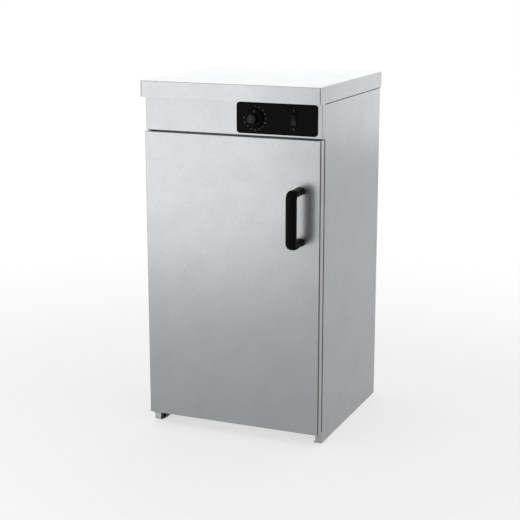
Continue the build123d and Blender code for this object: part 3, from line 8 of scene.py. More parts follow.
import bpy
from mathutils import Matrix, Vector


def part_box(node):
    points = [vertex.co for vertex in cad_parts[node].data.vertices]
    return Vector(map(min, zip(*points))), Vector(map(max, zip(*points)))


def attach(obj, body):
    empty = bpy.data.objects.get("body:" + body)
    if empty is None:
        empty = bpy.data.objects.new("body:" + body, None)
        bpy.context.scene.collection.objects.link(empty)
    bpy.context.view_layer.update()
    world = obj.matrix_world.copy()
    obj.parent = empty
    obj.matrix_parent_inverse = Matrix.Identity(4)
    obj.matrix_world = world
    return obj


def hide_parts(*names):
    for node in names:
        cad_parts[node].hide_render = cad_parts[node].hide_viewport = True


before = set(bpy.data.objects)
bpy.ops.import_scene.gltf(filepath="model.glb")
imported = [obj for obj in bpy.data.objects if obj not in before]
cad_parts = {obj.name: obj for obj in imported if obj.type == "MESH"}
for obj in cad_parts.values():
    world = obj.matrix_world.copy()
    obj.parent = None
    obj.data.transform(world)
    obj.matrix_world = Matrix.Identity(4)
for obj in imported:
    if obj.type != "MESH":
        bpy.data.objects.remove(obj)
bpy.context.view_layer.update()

import math

import bmesh
import bpy
import numpy as np

MM = 0.001

# %% [markdown]
# ## Camera
# A long lens from three metres away keeps the cabinet's edges nearly parallel, as a catalogue picture
# does. The place and the two angles are written out as numbers, so that nothing has to be aimed:
# yaw turns the view about the vertical and pitch tips it down.

# %% Camera
CAMERA_PLACE = (1.2167, -2.9131, 1.1462)
CAMERA_YAW = 0.3978
CAMERA_PITCH = 0.2329
IMAGE_SIDE = 520
FOCAL_PIXELS = 1294.6
SENSOR_WIDTH = 36.0
FAR_CLIP = 100.0

lens = bpy.data.cameras.new("catalogue_lens")
lens.sensor_width = SENSOR_WIDTH
lens.lens = FOCAL_PIXELS / IMAGE_SIDE * SENSOR_WIDTH
lens.clip_end = FAR_CLIP
camera = bpy.data.objects.new("catalogue_camera", lens)
camera.location = CAMERA_PLACE
camera.rotation_euler = (math.pi / 2 - CAMERA_PITCH, 0.0, CAMERA_YAW)
bpy.context.scene.collection.objects.link(camera)
bpy.context.scene.camera = camera
bpy.context.scene.view_settings.view_transform = "Standard"
print("lens:", round(lens.lens, 1), "mm")

# %% [markdown]
# ## Colours and nodes
# A colour is written as the hex value a person would pick on a screen. Blender computes light in linear
# values, so one function turns hex to linear. A second small function adds a shader node: keywords are
# the node's own settings, the dictionary holds its inputs, each a value or another node's output, and
# a ramp is a list of places and hex colours.

# %% Colours and nodes
def linear(hex_code):
    """Linear RGBA of an sRGB hex colour: c / 12.92 below 0.04045, else ((c + 0.055) / 1.055) ** 2.4."""
    srgb = np.array([int(hex_code[i:i + 2], 16) / 255 for i in (1, 3, 5)])
    values = np.where(srgb <= 0.04045, srgb / 12.92, ((srgb + 0.055) / 1.055) ** 2.4)
    return (*values.tolist(), 1.0)


def add(tree, kind, inputs=None, ramp=None, **settings):
    """Adds a node with its settings and links, and hands back its outputs."""
    node = tree.nodes.new(kind)
    for name, value in settings.items():
        setattr(node, name, value)
    for name, value in (inputs or {}).items():
        if isinstance(value, bpy.types.NodeSocket):
            tree.links.new(value, node.inputs[name])
        else:
            node.inputs[name].default_value = value
    if ramp:
        for stop, (place, colour) in zip(node.color_ramp.elements, ramp):
            stop.position = place
            stop.color = linear(colour)
    return node.outputs


# %% [markdown]
# ## Studio
# Brushed metal shows a blurred picture of what stands round it, so the studio is arranged for what the
# steel mirrors. A soft lamp stands close to the left of the door and is brightest there, so the door
# darkens towards its far lower corner. A weaker one stands behind on the right for the side, and a
# third lights the top from behind. The sky is white to the lens and in mirrored rays, and weaker as a
# light, so that the floor keeps the cabinet's shadow. The lens doesn't see the lamps.

# %% Sky and lamps
SKY_LIGHT = 0.72


def seen_ray(tree):
    """One on a ray that the lens, a shiny surface or a clear solid sends, zero on one that only lights."""
    ray = add(tree, "ShaderNodeLightPath")
    seen = ray["Is Camera Ray"]
    for kind in ("Is Glossy Ray", "Is Transmission Ray"):
        seen = add(tree, "ShaderNodeMath", {0: seen, 1: ray[kind]}, operation="MAXIMUM")["Value"]
    return seen


def studio_sky():
    """White world for the lens and for mirrored rays, a weaker one for lighting."""
    world = bpy.data.worlds.new("studio_sky")
    world.use_nodes = True
    tree = world.node_tree
    tree.nodes.clear()
    light = add(tree, "ShaderNodeBackground", {"Color": linear("#FFFFFF"), "Strength": SKY_LIGHT})
    white = add(tree, "ShaderNodeBackground", {"Color": linear("#FFFFFF"), "Strength": 1.0})
    both = add(tree, "ShaderNodeMixShader", {
        0: seen_ray(tree), 1: light["Background"], 2: white["Background"],
    })
    add(tree, "ShaderNodeOutputWorld", {"Surface": both["Shader"]})
    bpy.context.scene.world = world


def soft_lamp(name, place, aim, side, watts):
    """Square lamp at a place, facing a point, in metres."""
    lamp = bpy.data.lights.new(name, "AREA")
    lamp.shape = "SQUARE"
    lamp.size = side
    lamp.energy = watts
    thing = bpy.data.objects.new(name, lamp)
    thing.location = place
    away = np.array(place) - np.array(aim)
    tilt = math.atan2(math.hypot(away[0], away[1]), away[2])
    thing.rotation_euler = (tilt, 0.0, math.atan2(away[0], -away[1]))
    thing.visible_camera = False
    bpy.context.scene.collection.objects.link(thing)


MIDDLE = (0.0, 0.0, 0.5)
WORKTOP_MIDDLE = (0.0, 0.0, 0.9)
studio_sky()
soft_lamp("door_lamp", (-0.89, -1.50, 0.62), MIDDLE, 1.2, 6.2)
soft_lamp("side_lamp", (0.5, 1.9, 1.0), MIDDLE, 1.2, 3.0)
soft_lamp("top_lamp", (-1.1, 2.6, 1.2), WORKTOP_MIDDLE, 1.6, 8.5)

# %% [markdown]
# ### Floor
# The floor is a plain matt pale sheet, much larger than the view, and isn't part of the object. Part of
# its whiteness is its own for the lens and for mirrored rays, and that part grows with the distance
# from the cabinet, so the sheet melts into the sky and the shadow stays close to the feet.

# %% Floor
FLOOR_SIDE = 60.0
NEAR_WHITE, FAR_WHITE = 0.62, 1.0
NEAR_DISTANCE, FAR_DISTANCE = 0.6, 2.0
FLOOR_CLOUD = 0.4


def floor_sheet():
    """Flat square under the glides, in a matt white that fades to pure white far away."""
    half = FLOOR_SIDE / 2
    mesh = bpy.data.meshes.new("studio_floor")
    corners = [(-half, -half, 0), (half, -half, 0), (half, half, 0), (-half, half, 0)]
    mesh.from_pydata(corners, [], [(0, 1, 2, 3)])
    material = bpy.data.materials.new("matt_white_floor")
    material.use_nodes = True
    tree = material.node_tree
    tree.nodes.clear()
    place = add(tree, "ShaderNodeTexCoord")["Object"]
    reach = add(tree, "ShaderNodeVectorMath", {0: place}, operation="LENGTH")["Value"]
    share = add(tree, "ShaderNodeMapRange", {
        "Value": reach, "From Min": NEAR_DISTANCE, "From Max": FAR_DISTANCE,
        "To Min": NEAR_WHITE, "To Max": FAR_WHITE,
    }, interpolation_type="SMOOTHSTEP")["Result"]
    part = add(tree, "ShaderNodeMath", {0: seen_ray(tree), 1: share}, operation="MULTIPLY")["Value"]
    cloud = add(tree, "ShaderNodeTexNoise", {"Vector": place, "Scale": 1 / FLOOR_CLOUD})["Fac"]
    tone = add(tree, "ShaderNodeValToRGB", {"Fac": cloud}, [(0.3, "#F3F3F3"), (0.7, "#F5F5F5")])["Color"]
    matt = add(tree, "ShaderNodeBsdfDiffuse", {"Color": tone})
    white = add(tree, "ShaderNodeEmission", {"Color": linear("#FFFFFF"), "Strength": 1.0})
    both = add(tree, "ShaderNodeMixShader", {0: part, 1: matt["BSDF"], 2: white["Emission"]})
    add(tree, "ShaderNodeOutputMaterial", {"Surface": both["Shader"]})
    mesh.materials.append(material)
    sheet = bpy.data.objects.new("studio_floor", mesh)
    bpy.context.scene.collection.objects.link(sheet)


floor_sheet()
print("floor:", FLOOR_SIDE, "m across")

# %% [markdown]
# ## Materials
# Each finish is named for the real material and for how its surface was made. A small function starts a
# material and hands back its node tree with the object's own coordinates, in metres, so a pattern's
# scale is one over a real size. A second one closes it with the standard surface shader.

# %% Starting and closing a material
FINISHES = {}


def start(name):
    """New empty material with its tree and object coordinates."""
    material = bpy.data.materials.new(name)
    material.use_nodes = True
    tree = material.node_tree
    tree.nodes.clear()
    return material, tree, add(tree, "ShaderNodeTexCoord")["Object"]


def close(slot, material, tree, inputs):
    """Ends a material in a surface shader and files it under a slot name."""
    shader = add(tree, "ShaderNodeBsdfPrincipled", inputs)
    add(tree, "ShaderNodeOutputMaterial", {"Surface": shader["BSDF"]})
    FINISHES[slot] = material


# %% [markdown]
# ### Brushed stainless steel
# The outside is thin ferritic stainless sheet, ground with an abrasive belt. The belt leaves short
# parallel scratches that blur what the sheet mirrors. Real scratches are under 0.1 mm wide, too fine to
# show here, so they are drawn 1.4 mm wide and 14 mm long, and kept faint. A cloud 60 mm across stands
# for the wiping marks that steel always carries. Thin sheet never lies quite flat either, so a very
# long, very low wave bends the reflections a little. A much darker copy of the steel is painted
# reflection: it goes on the band along the door's front fold, for the dark line that the bend mirrors.

# %% Brushed stainless steel
SCRATCH_WIDTH = 1.4 * MM
SPECK_WIDTH = 2.4 * MM
WIPE_WIDTH = 60 * MM
WAVE_LENGTH = 260 * MM
SCRATCH_DEPTH = 0.004 * MM
STREAK_SHARE, SPECK_SHARE, WIPE_SHARE = 0.36, 0.36, 0.28
TONE_LOW, TONE_HIGH = 0.3, 0.7
SHINE_SWING = 0.02


def brushed_steel(slot, name, dark, light, rough, grain, wave=0.5 * MM):
    """Metal with short streaks along the grain, specks, broad wiping marks, and a long low wave."""
    material, tree, place = start(name)
    drawn = add(tree, "ShaderNodeMapping", {"Vector": place, "Scale": grain})["Vector"]
    streak, speck, wipe, long_wave = [
        add(tree, "ShaderNodeTexNoise", {"Vector": vector, "Scale": 1 / width, "Detail": detail})["Fac"]
        for vector, width, detail in (
            (drawn, SCRATCH_WIDTH, 3.0), (place, SPECK_WIDTH, 2.0),
            (place, WIPE_WIDTH, 3.0), (place, WAVE_LENGTH, 0.0),
        )
    ]
    tone = 0.0
    for cloud, share in ((streak, STREAK_SHARE), (speck, SPECK_SHARE), (wipe, WIPE_SHARE)):
        tone = add(tree, "ShaderNodeMath", {0: cloud, 1: share, 2: tone}, operation="MULTIPLY_ADD")["Value"]
    colour = add(tree, "ShaderNodeValToRGB", {"Fac": tone}, [(TONE_LOW, dark), (TONE_HIGH, light)])["Color"]
    blur = add(tree, "ShaderNodeMapRange", {
        "Value": tone, "From Min": TONE_LOW, "From Max": TONE_HIGH,
        "To Min": rough + SHINE_SWING, "To Max": rough - SHINE_SWING,
    })["Result"]
    bent = add(tree, "ShaderNodeBump", {"Height": long_wave, "Distance": wave})["Normal"]
    scratched = add(tree, "ShaderNodeBump", {
        "Height": streak, "Distance": SCRATCH_DEPTH, "Normal": bent,
    })["Normal"]
    close(slot, material, tree, {
        "Base Color": colour, "Metallic": 1.0, "Roughness": blur, "Normal": scratched,
    })


ALONG_Z = (1.0, 1.0, 0.1)
ALONG_X = (0.1, 1.0, 1.0)
brushed_steel("satin_steel", "stainless_430_brushed_upright", "#959697", "#A3A4A5", 0.30, ALONG_Z)
brushed_steel("worktop_steel", "stainless_430_brushed_across", "#999A9B", "#A7A8A9", 0.32, ALONG_X)
brushed_steel("liner_steel", "stainless_430_mill_rolled", "#B8B9BA", "#BFC0C1", 0.28, ALONG_Z, 0.3 * MM)
# Painted reflection: a much darker copy of the steel, for the band along the door's front fold.
brushed_steel("fold_reflection_steel", "stainless_430_painted_fold_reflection", "#4E4F50", "#5C5D5E", 0.38, ALONG_Z)
print("finishes:", sorted(FINISHES))

# %% [markdown]
# ### Zinc coated steel
# The back, the base and the tray inside are hot-dip galvanised sheet. Zinc freezes in flat crystals, the
# spangle, each about 10 mm across and mirroring at its own brightness. Cells of a Voronoi pattern with
# bent edges are the usual way to draw it, kept close in tone, because modern coatings have a fine, even
# spangle. Screws and pins are plated with zinc instead, which is even and a little milky.

# %% Zinc coated steel
SPANGLE_WIDTH = 9 * MM
SPANGLE_BEND = 5 * MM
BENDS_PER_METRE = 60.0
FROST_WIDTH = 0.8 * MM
SPANGLE_STEP = 0.01 * MM
FROST_SHARE = 0.4
SPANGLE_ROUGH = (0.38, 0.46)
MOTTLE_SHINE, MOTTLE_DULL = 0.05, 0.06


def galvanised(slot):
    """Cells of their own tone and roughness, with a faint frosted noise inside each."""
    material, tree, place = start("hot_dip_galvanised_sheet")
    warp = add(tree, "ShaderNodeTexNoise", {
        "Vector": place, "Scale": BENDS_PER_METRE, "Detail": 2.0,
    })["Color"]
    moved = add(tree, "ShaderNodeVectorMath", {0: warp, "Scale": SPANGLE_BEND}, operation="SCALE")["Vector"]
    moved = add(tree, "ShaderNodeVectorMath", {0: place, 1: moved}, operation="ADD")["Vector"]
    cell = add(tree, "ShaderNodeTexVoronoi", {"Vector": moved, "Scale": 1 / SPANGLE_WIDTH})["Color"]
    grey = add(tree, "ShaderNodeSeparateColor", {"Color": cell})["Red"]
    frost = add(tree, "ShaderNodeTexNoise", {"Vector": place, "Scale": 1 / FROST_WIDTH, "Detail": 3.0})["Fac"]
    tone = add(tree, "ShaderNodeMath", {0: frost, 1: FROST_SHARE, 2: grey}, operation="MULTIPLY_ADD")["Value"]
    colour = add(tree, "ShaderNodeValToRGB", {"Fac": tone}, [(0.1, "#A0A3A6"), (1.0, "#B1B4B6")])["Color"]
    blur = add(tree, "ShaderNodeMapRange", {
        "Value": tone, "To Min": SPANGLE_ROUGH[0], "To Max": SPANGLE_ROUGH[1],
    })["Result"]
    edge = add(tree, "ShaderNodeBump", {"Height": tone, "Distance": SPANGLE_STEP})["Normal"]
    close(slot, material, tree, {"Base Color": colour, "Metallic": 1.0, "Roughness": blur, "Normal": edge})


def plated(slot, name, dark, light, rough, mottle_width, mottle_depth):
    """Even plated metal with fine mottling."""
    material, tree, place = start(name)
    mottle = add(tree, "ShaderNodeTexNoise", {
        "Vector": place, "Scale": 1 / mottle_width, "Detail": 3.0,
    })["Fac"]
    colour = add(tree, "ShaderNodeValToRGB", {"Fac": mottle}, [(TONE_LOW, dark), (TONE_HIGH, light)])["Color"]
    blur = add(tree, "ShaderNodeMapRange", {
        "Value": mottle, "From Min": TONE_LOW, "From Max": TONE_HIGH,
        "To Min": rough - MOTTLE_SHINE, "To Max": rough + MOTTLE_DULL,
    })["Result"]
    uneven = add(tree, "ShaderNodeBump", {"Height": mottle, "Distance": mottle_depth})["Normal"]
    close(slot, material, tree, {"Base Color": colour, "Metallic": 1.0, "Roughness": blur, "Normal": uneven})


galvanised("galvanised")
plated("zinc_steel", "zinc_plated_steel", "#A9ADAF", "#BDC0C1", 0.32, 1.5 * MM, 0.01 * MM)
plated("chrome_wire", "bright_chromed_wire", "#C9CBCE", "#DADCDF", 0.14, 4.0 * MM, 0.006 * MM)
plated("brass", "turned_brass", "#B08B3E", "#C9A655", 0.30, 2.0 * MM, 0.01 * MM)
plated("element_sheath", "heat_tinted_sheath", "#3F3733", "#6A5C52", 0.48, 6.0 * MM, 0.02 * MM)
print("finishes:", len(FINISHES))

# %% [markdown]
# ### Plastics, rubber and ink
# The knob, its backing plate and the handle are moulded in black plastic from a spark-eroded tool, whose
# fine pits take the shine off. The rocker comes from a polished tool and keeps its gloss. Nylon is a
# little cloudy, and the door seal and the sealant are soft silicone. Handling polishes plastic unevenly,
# which a 25 mm cloud in the roughness gives. The marks are pad-printed ink, thin enough to be patchy.

# %% Plastics, rubber and ink
HANDLING_WIDTH = 25 * MM
HANDLING_SHARE = 0.4
GRAIN_LOW, GRAIN_HIGH = 0.4, 1.0
GRAIN_DULL, GRAIN_SHINE = 0.06, 0.04


def moulded(slot, name, dark, light, rough, pit_width, pit_depth, specular=0.5):
    """Plastic or rubber with the tool's fine grain and broad, faint changes of shine."""
    material, tree, place = start(name)
    grain = add(tree, "ShaderNodeTexNoise", {"Vector": place, "Scale": 1 / pit_width, "Detail": 2.0})["Fac"]
    handled = add(tree, "ShaderNodeTexNoise", {
        "Vector": place, "Scale": 1 / HANDLING_WIDTH, "Detail": 2.0,
    })["Fac"]
    tone = add(tree, "ShaderNodeMath", {
        0: handled, 1: HANDLING_SHARE, 2: grain,
    }, operation="MULTIPLY_ADD")["Value"]
    colour = add(tree, "ShaderNodeValToRGB", {"Fac": tone}, [(GRAIN_LOW, dark), (GRAIN_HIGH, light)])["Color"]
    blur = add(tree, "ShaderNodeMapRange", {
        "Value": tone, "From Min": GRAIN_LOW, "From Max": GRAIN_HIGH,
        "To Min": rough + GRAIN_DULL, "To Max": rough - GRAIN_SHINE,
    })["Result"]
    pitted = add(tree, "ShaderNodeBump", {"Height": grain, "Distance": pit_depth})["Normal"]
    close(slot, material, tree, {
        "Base Color": colour, "Roughness": blur, "Specular IOR Level": specular, "Normal": pitted,
    })


moulded("black_moulding", "spark_eroded_black_plastic", "#020202", "#050505",
        0.36, 0.9 * MM, 0.012 * MM, 0.04)
moulded("turned_plastic", "polished_black_phenolic", "#030303", "#060606", 0.26, 1.2 * MM, 0.004 * MM, 0.2)
moulded("switch_gloss", "polished_black_plastic", "#050505", "#080808", 0.16, 3.0 * MM, 0.002 * MM, 0.12)
moulded("grey_nylon", "glass_filled_black_nylon", "#252628", "#323335", 0.55, 1.2 * MM, 0.03 * MM)
moulded("natural_nylon", "natural_nylon", "#D6D1C2", "#E2DED1", 0.45, 1.5 * MM, 0.01 * MM)
# This grey is the real door seal, and also painted shade in the bands at the side panels' front folds.
moulded("silicone_gasket", "extruded_silicone_and_gap_shade", "#27282A", "#333436", 0.62, 1.6 * MM, 0.02 * MM)
moulded("magnet_ferrite", "sintered_ferrite", "#26262A", "#37373B", 0.74, 0.7 * MM, 0.05 * MM)
moulded("printed_ink", "pad_printed_grey_ink", "#484847", "#7C7C7A", 0.6, 0.5 * MM, 0.004 * MM)
# This grey fills the real corner seams, and is also painted shade in the bead under each side skirt.
moulded("sealant", "grey_sealant_and_skirt_shade", "#262728", "#333435", 0.5, 6.0 * MM, 0.1 * MM)
print("finishes:", len(FINISHES))

# %% [markdown]
# ### Sleeves and wool
# The leads inside are covered with braided glass, whose ribs slant both ways and cross. The walls and
# the door are filled with resin-bonded mineral wool: long thin strands in two tones over a lumpy base.
# A real fibre is about 0.01 mm thick, so the strands are drawn 2 mm thick to show at all.

# %% Sleeves and wool
BRAID_PITCH = 6 * MM
BRAID_TILT = 0.8
BRAID_BEND = 0.6
BRAID_DEPTH = 0.15 * MM
STRAND_WIDTH = 2 * MM
STRAND_STRETCH = (0.07, 1.0, 1.0)
LUMP_WIDTH = 22 * MM
LUMP_SHARE = 0.5
FIBRE_DEPTH = 1.2 * MM


def braided_sleeve(slot):
    """Two sets of slanted ribs, the higher of the two everywhere."""
    material, tree, place = start("braided_glass_sleeve")
    ribs = []
    for tilt in (BRAID_TILT, -BRAID_TILT):
        turned = add(tree, "ShaderNodeMapping", {"Vector": place, "Rotation": (tilt, tilt, 0.0)})["Vector"]
        ribs.append(add(tree, "ShaderNodeTexWave", {
            "Vector": turned, "Scale": 1 / BRAID_PITCH, "Distortion": BRAID_BEND,
        })["Fac"])
    weave = add(tree, "ShaderNodeMath", {0: ribs[0], 1: ribs[1]}, operation="MAXIMUM")["Value"]
    colour = add(tree, "ShaderNodeValToRGB", {"Fac": weave}, [(0.3, "#5A2A1C"), (0.9, "#8A4A34")])["Color"]
    blur = add(tree, "ShaderNodeMapRange", {"Value": weave, "To Min": 0.8, "To Max": 0.6})["Result"]
    raised = add(tree, "ShaderNodeBump", {"Height": weave, "Distance": BRAID_DEPTH})["Normal"]
    close(slot, material, tree, {"Base Color": colour, "Roughness": blur, "Normal": raised})


def mineral_wool(slot):
    """Strands drawn out along X over soft lumps."""
    material, tree, place = start("resin_bonded_mineral_wool")
    drawn = add(tree, "ShaderNodeMapping", {"Vector": place, "Scale": STRAND_STRETCH})["Vector"]
    strands = add(tree, "ShaderNodeTexNoise", {
        "Vector": drawn, "Scale": 1 / STRAND_WIDTH, "Detail": 5.0, "Roughness": 0.7,
    })["Fac"]
    lumps = add(tree, "ShaderNodeTexNoise", {"Vector": place, "Scale": 1 / LUMP_WIDTH, "Detail": 3.0})["Fac"]
    tone = add(tree, "ShaderNodeMath", {
        0: lumps, 1: LUMP_SHARE, 2: strands,
    }, operation="MULTIPLY_ADD")["Value"]
    colour = add(tree, "ShaderNodeValToRGB", {"Fac": tone}, [(0.5, "#9C8748"), (1.0, "#CDBB7C")])["Color"]
    blur = add(tree, "ShaderNodeMapRange", {"Value": tone, "To Min": 1.0, "To Max": 0.9})["Result"]
    fibrous = add(tree, "ShaderNodeBump", {"Height": tone, "Distance": FIBRE_DEPTH})["Normal"]
    close(slot, material, tree, {"Base Color": colour, "Roughness": blur, "Normal": fibrous})


braided_sleeve("lead_sleeve")
mineral_wool("mineral_wool")
print("finishes:", sorted(FINISHES))

# %% [markdown]
# ### Dressing the measured parts
# Each measured part already names the slot that it takes its finish from, so the finish goes straight
# into that slot and the mesh itself stays as it is.

# %% Dressing the measured parts
for name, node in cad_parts.items():
    for number, old in enumerate(node.data.materials):
        node.data.materials[number] = FINISHES[old.name]
print("dressed:", len(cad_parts))

# %% [markdown]
# ## Surfaces from formulas
# A smooth piece is easiest to get right as a formula: rings of points carried along a path, joined by
# four-sided faces. A few short functions are all that the pieces need. One spaces points along a bent
# line, one joins rings into faces, and one turns points and faces into a finished object, with its
# shape in millimetres where it sits on the cabinet, so that the object itself stays at the origin. Two
# more measure a real part and read a mesh back as numbers.

# %% Rings, faces and objects
MERGE_DISTANCE = 0.0005 * MM


def spaced(line, step):
    """Points along a bent line: its own corners, and others no more than a step apart between them."""
    line = np.array(line, float)
    reach = np.concatenate([[0], np.cumsum(np.linalg.norm(np.diff(line, axis=0), axis=1))])
    places = np.union1d(reach, np.arange(0, reach[-1], step))
    return np.stack([np.interp(places, reach, column) for column in line.T], axis=1)


def ring_faces(rows, columns, loop=False):
    """Four-sided faces over a grid of closed rings. A loop joins its ends, and a tube closes them flat."""
    index = np.arange(rows * columns).reshape(rows, columns)
    if loop:
        index = np.concatenate([index, index[:1]])
    here, after = index[:-1], index[1:]
    quads = np.stack([here, np.roll(here, -1, 1), np.roll(after, -1, 1), after], axis=-1)
    ends = [] if loop else [index[0].tolist(), index[-1].tolist()]
    return quads.reshape(-1, 4).tolist() + ends


def piece(name, points, faces, finish, body, sharp=35, stands_for=()):
    """Object from points in mm: doubles and slivers merged, faces outward, smooth below the sharp angle."""
    mesh = bpy.data.meshes.new(name)
    mesh.from_pydata((np.array(points).reshape(-1, 3) * MM).tolist(), [], faces)
    work = bmesh.new()
    work.from_mesh(mesh)
    bmesh.ops.remove_doubles(work, verts=work.verts, dist=MERGE_DISTANCE)
    bmesh.ops.dissolve_degenerate(work, edges=work.edges, dist=MERGE_DISTANCE)
    bmesh.ops.recalc_face_normals(work, faces=work.faces)
    work.to_mesh(mesh)
    work.free()
    mesh.shade_smooth()
    mesh.set_sharp_from_angle(angle=math.radians(sharp))
    mesh.materials.append(FINISHES[finish])
    thing = bpy.data.objects.new(name, mesh)
    bpy.context.scene.collection.objects.link(thing)
    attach(thing, body)
    if stands_for:
        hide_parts(*stands_for)
    print(name, "faces:", len(mesh.polygons))
    return thing


def box_mm(node):
    """Lowest and highest corner of a measured part, in millimetres."""
    low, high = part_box(node)
    return np.array(low) / MM, np.array(high) / MM


def read(items, name, width=1, kind=float):
    """One property of a mesh's points, corners or faces as an array, with a row for each of them."""
    values = np.empty(len(items) * width, kind)
    items.foreach_get(name, values)
    return values.reshape(-1, width) if width > 1 else values


# %% [markdown]
# ## Bow handle
# The handle is one bar of black plastic bent into a bow, 26 mm wide and 18 mm thick. Its section is a
# rectangle with generous corners, which one exponent describes: 2 would be an ellipse, and a large one a
# sharp rectangle. The arms are drawn in slightly between the door and the bend, and where the two halves
# of the mould met, a fine line runs along both sides. Points round the section lie closer there.

# %% Bow handle
BAR_THICKNESS = 18.0
BEND_RADIUS = 11.0
CORNER_POWER = 2.5
ARM_WAIST = 0.07
PARTING_DEPTH = 0.02
PARTING_WIDTH = 0.5
BAR_COLUMNS = 96
CROWDING = 0.35
ARM_RINGS, BEND_RINGS, UPRIGHT_RINGS = 20, 12, 24


def bow_path(foot_y, out_y, low_z, high_z):
    """Y, Z, heading and arm share along the bar's middle: out, a quarter turn, up, a quarter turn, back."""
    turn_y = out_y + BEND_RADIUS
    share = np.linspace(0, 1, ARM_RINGS)
    quarter = np.linspace(0, math.pi / 2, BEND_RINGS + 2)[1:-1]
    rise = np.linspace(low_z + BEND_RADIUS, high_z - BEND_RADIUS, UPRIGHT_RINGS)
    arm_y = foot_y + (turn_y - foot_y) * share
    y = [arm_y, turn_y - BEND_RADIUS * np.sin(quarter), np.full(UPRIGHT_RINGS, out_y)]
    z = [np.full(ARM_RINGS, low_z), low_z + BEND_RADIUS * (1 - np.cos(quarter)), rise]
    heading = [np.zeros(ARM_RINGS), quarter, np.full(UPRIGHT_RINGS, math.pi / 2)]
    waist = [share, np.ones(BEND_RINGS), np.ones(UPRIGHT_RINGS)]
    middle = low_z + high_z
    mirrored = [
        (y, y), (z, [middle - row for row in z]),
        (heading, [math.pi - row for row in heading]), (waist, waist),
    ]
    return [np.concatenate([*near, *[row[::-1] for row in far[1::-1]]]) for near, far in mirrored]


def bow_handle():
    """Bar round the bow path.

    At angle a round the section its radius is (|cos a / w| ** p + |sin a / t| ** p) ** (-1 / p), where w
    and t are half the width and thickness. An arm is scaled by 1 - waist * sin(pi * share) ** 2.
    """
    low, high = box_mm("door_handle")
    half_w, half_t = (high[0] - low[0]) / 2, BAR_THICKNESS / 2
    y, z, heading, share = bow_path(high[1], low[1] + half_t, low[2] + half_t, high[2] - half_t)
    turn = np.linspace(0, 2 * math.pi, BAR_COLUMNS, endpoint=False)
    angle = turn - CROWDING * np.sin(2 * turn)
    wide, thick = np.abs(np.cos(angle) / half_w), np.abs(np.sin(angle) / half_t)
    radius = (wide ** CORNER_POWER + thick ** CORNER_POWER) ** (-1 / CORNER_POWER)
    across, out = radius * np.cos(angle), radius * np.sin(angle)
    across = across * (1 - PARTING_DEPTH * np.exp(-(out / PARTING_WIDTH) ** 2))
    scale = 1 - ARM_WAIST * np.sin(math.pi * share) ** 2
    x = (low[0] + high[0]) / 2 + np.outer(scale, across)
    ring_y = y[:, None] - np.outer(scale * np.sin(heading), out)
    ring_z = z[:, None] - np.outer(scale * np.cos(heading), out)
    points = np.stack([x, ring_y, ring_z], axis=-1)
    piece("bow_handle", points, ring_faces(len(y), BAR_COLUMNS), "black_moulding", "door", 50,
          ["door_handle"])


bow_handle()

# %% [markdown]
# ## Fluted knob
# The temperature knob is turned in shape: a flat skirt that carries the pointer, and a grip with 18
# flutes for dry fingers. A lathe formula gives the radius at each height, and the flutes take a little
# off it, more in the middle of the grip and nothing at its ends. The bore behind lets the spindle in.
# Fingers polish the grip and never touch the skirt, so the skirt keeps the dull moulded finish.

# %% Fluted knob
FLUTES = 18
FLUTE_DEPTH = 0.6
FLUTE_COLUMNS = 12
FLUTE_FOOT, FLUTE_TOP = 6.0, 21.2
FADE_LENGTH = 2.0
LEAST_FLUTED_RADIUS = 10
SKIRT_HEIGHT = 5.1
KNOB_PROFILE = [
    (14.3, 0.0), (14.3, 3.15), (0.4, 3.15), (0.0, 3.6), (0.0, 21.2), (0.3, 21.8), (0.8, 22.0), (4.2, 20.7),
    (4.8, 20.2), (5.0, 19.6), (5.0, 13.6), (5.3, 12.9), (6.0, 12.55), (20.0, 11.1), (20.9, 10.7),
    (21.6, 10.0), (22.1, 9.0), (22.5, 7.4), (22.8, 5.2), (22.95, 2.6), (22.98, 0.0),
]


def fluted_knob():
    """Lathe about Y: radius = R(h) - depth * fade(h) * (0.5 + 0.5 cos(18 a)) ** 2."""
    low, high = box_mm("control_knob")
    height, radius = spaced(KNOB_PROFILE, 0.7).T
    angle = np.linspace(0, 2 * math.pi, FLUTES * FLUTE_COLUMNS, endpoint=False)
    rise = np.clip((height - FLUTE_FOOT) / FADE_LENGTH, 0, 1)
    fall = np.clip((FLUTE_TOP - height) / FADE_LENGTH, 0, 1)
    fade = (rise * fall) ** 2 * (3 - 2 * rise * fall) * (radius > LEAST_FLUTED_RADIUS)
    wave = (0.5 + 0.5 * np.cos(FLUTES * angle)) ** 2
    reach = radius[:, None] - FLUTE_DEPTH * np.outer(fade, wave)
    x = (low[0] + high[0]) / 2 + reach * np.sin(angle)
    z = (low[2] + high[2]) / 2 + reach * np.cos(angle)
    y = np.broadcast_to((high[1] - height)[:, None], x.shape)
    points = np.stack([x, y, z], axis=-1)
    faces = ring_faces(len(height), len(angle))
    knob = piece("fluted_knob", points, faces, "turned_plastic", "temperature_knob", 40,
                 ["control_knob"])
    skirt = read(knob.data.polygons, "center", 3)[:, 1] > (high[1] - SKIRT_HEIGHT) * MM
    knob.data.materials.append(FINISHES["black_moulding"])
    knob.data.polygons.foreach_set("material_index", skirt.astype(np.int32))


PEBBLE_ROWS, PEBBLE_COLUMNS = 21, 40


def pebble(name, middle, halves, power, finish, body):
    """Rounded bar: in each direction d its radius is (|dx/a|^p + |dy/b|^p + |dz/c|^p) ^ (-1/p)."""
    around = np.linspace(0, 2 * math.pi, PEBBLE_COLUMNS, endpoint=False)
    up = np.linspace(-math.pi / 2, math.pi / 2, PEBBLE_ROWS)[:, None]
    level = [np.cos(up) * np.cos(around), np.cos(up) * np.sin(around)]
    aim = np.stack([*level, np.sin(up) * np.ones(PEBBLE_COLUMNS)], axis=-1) * np.array(halves)
    radius = (np.abs(aim / np.array(halves)) ** power).sum(axis=-1) ** (-1 / power)
    faces = ring_faces(PEBBLE_ROWS, PEBBLE_COLUMNS)
    piece(name, np.array(middle) + aim * radius[..., None], faces, finish, body, 60)


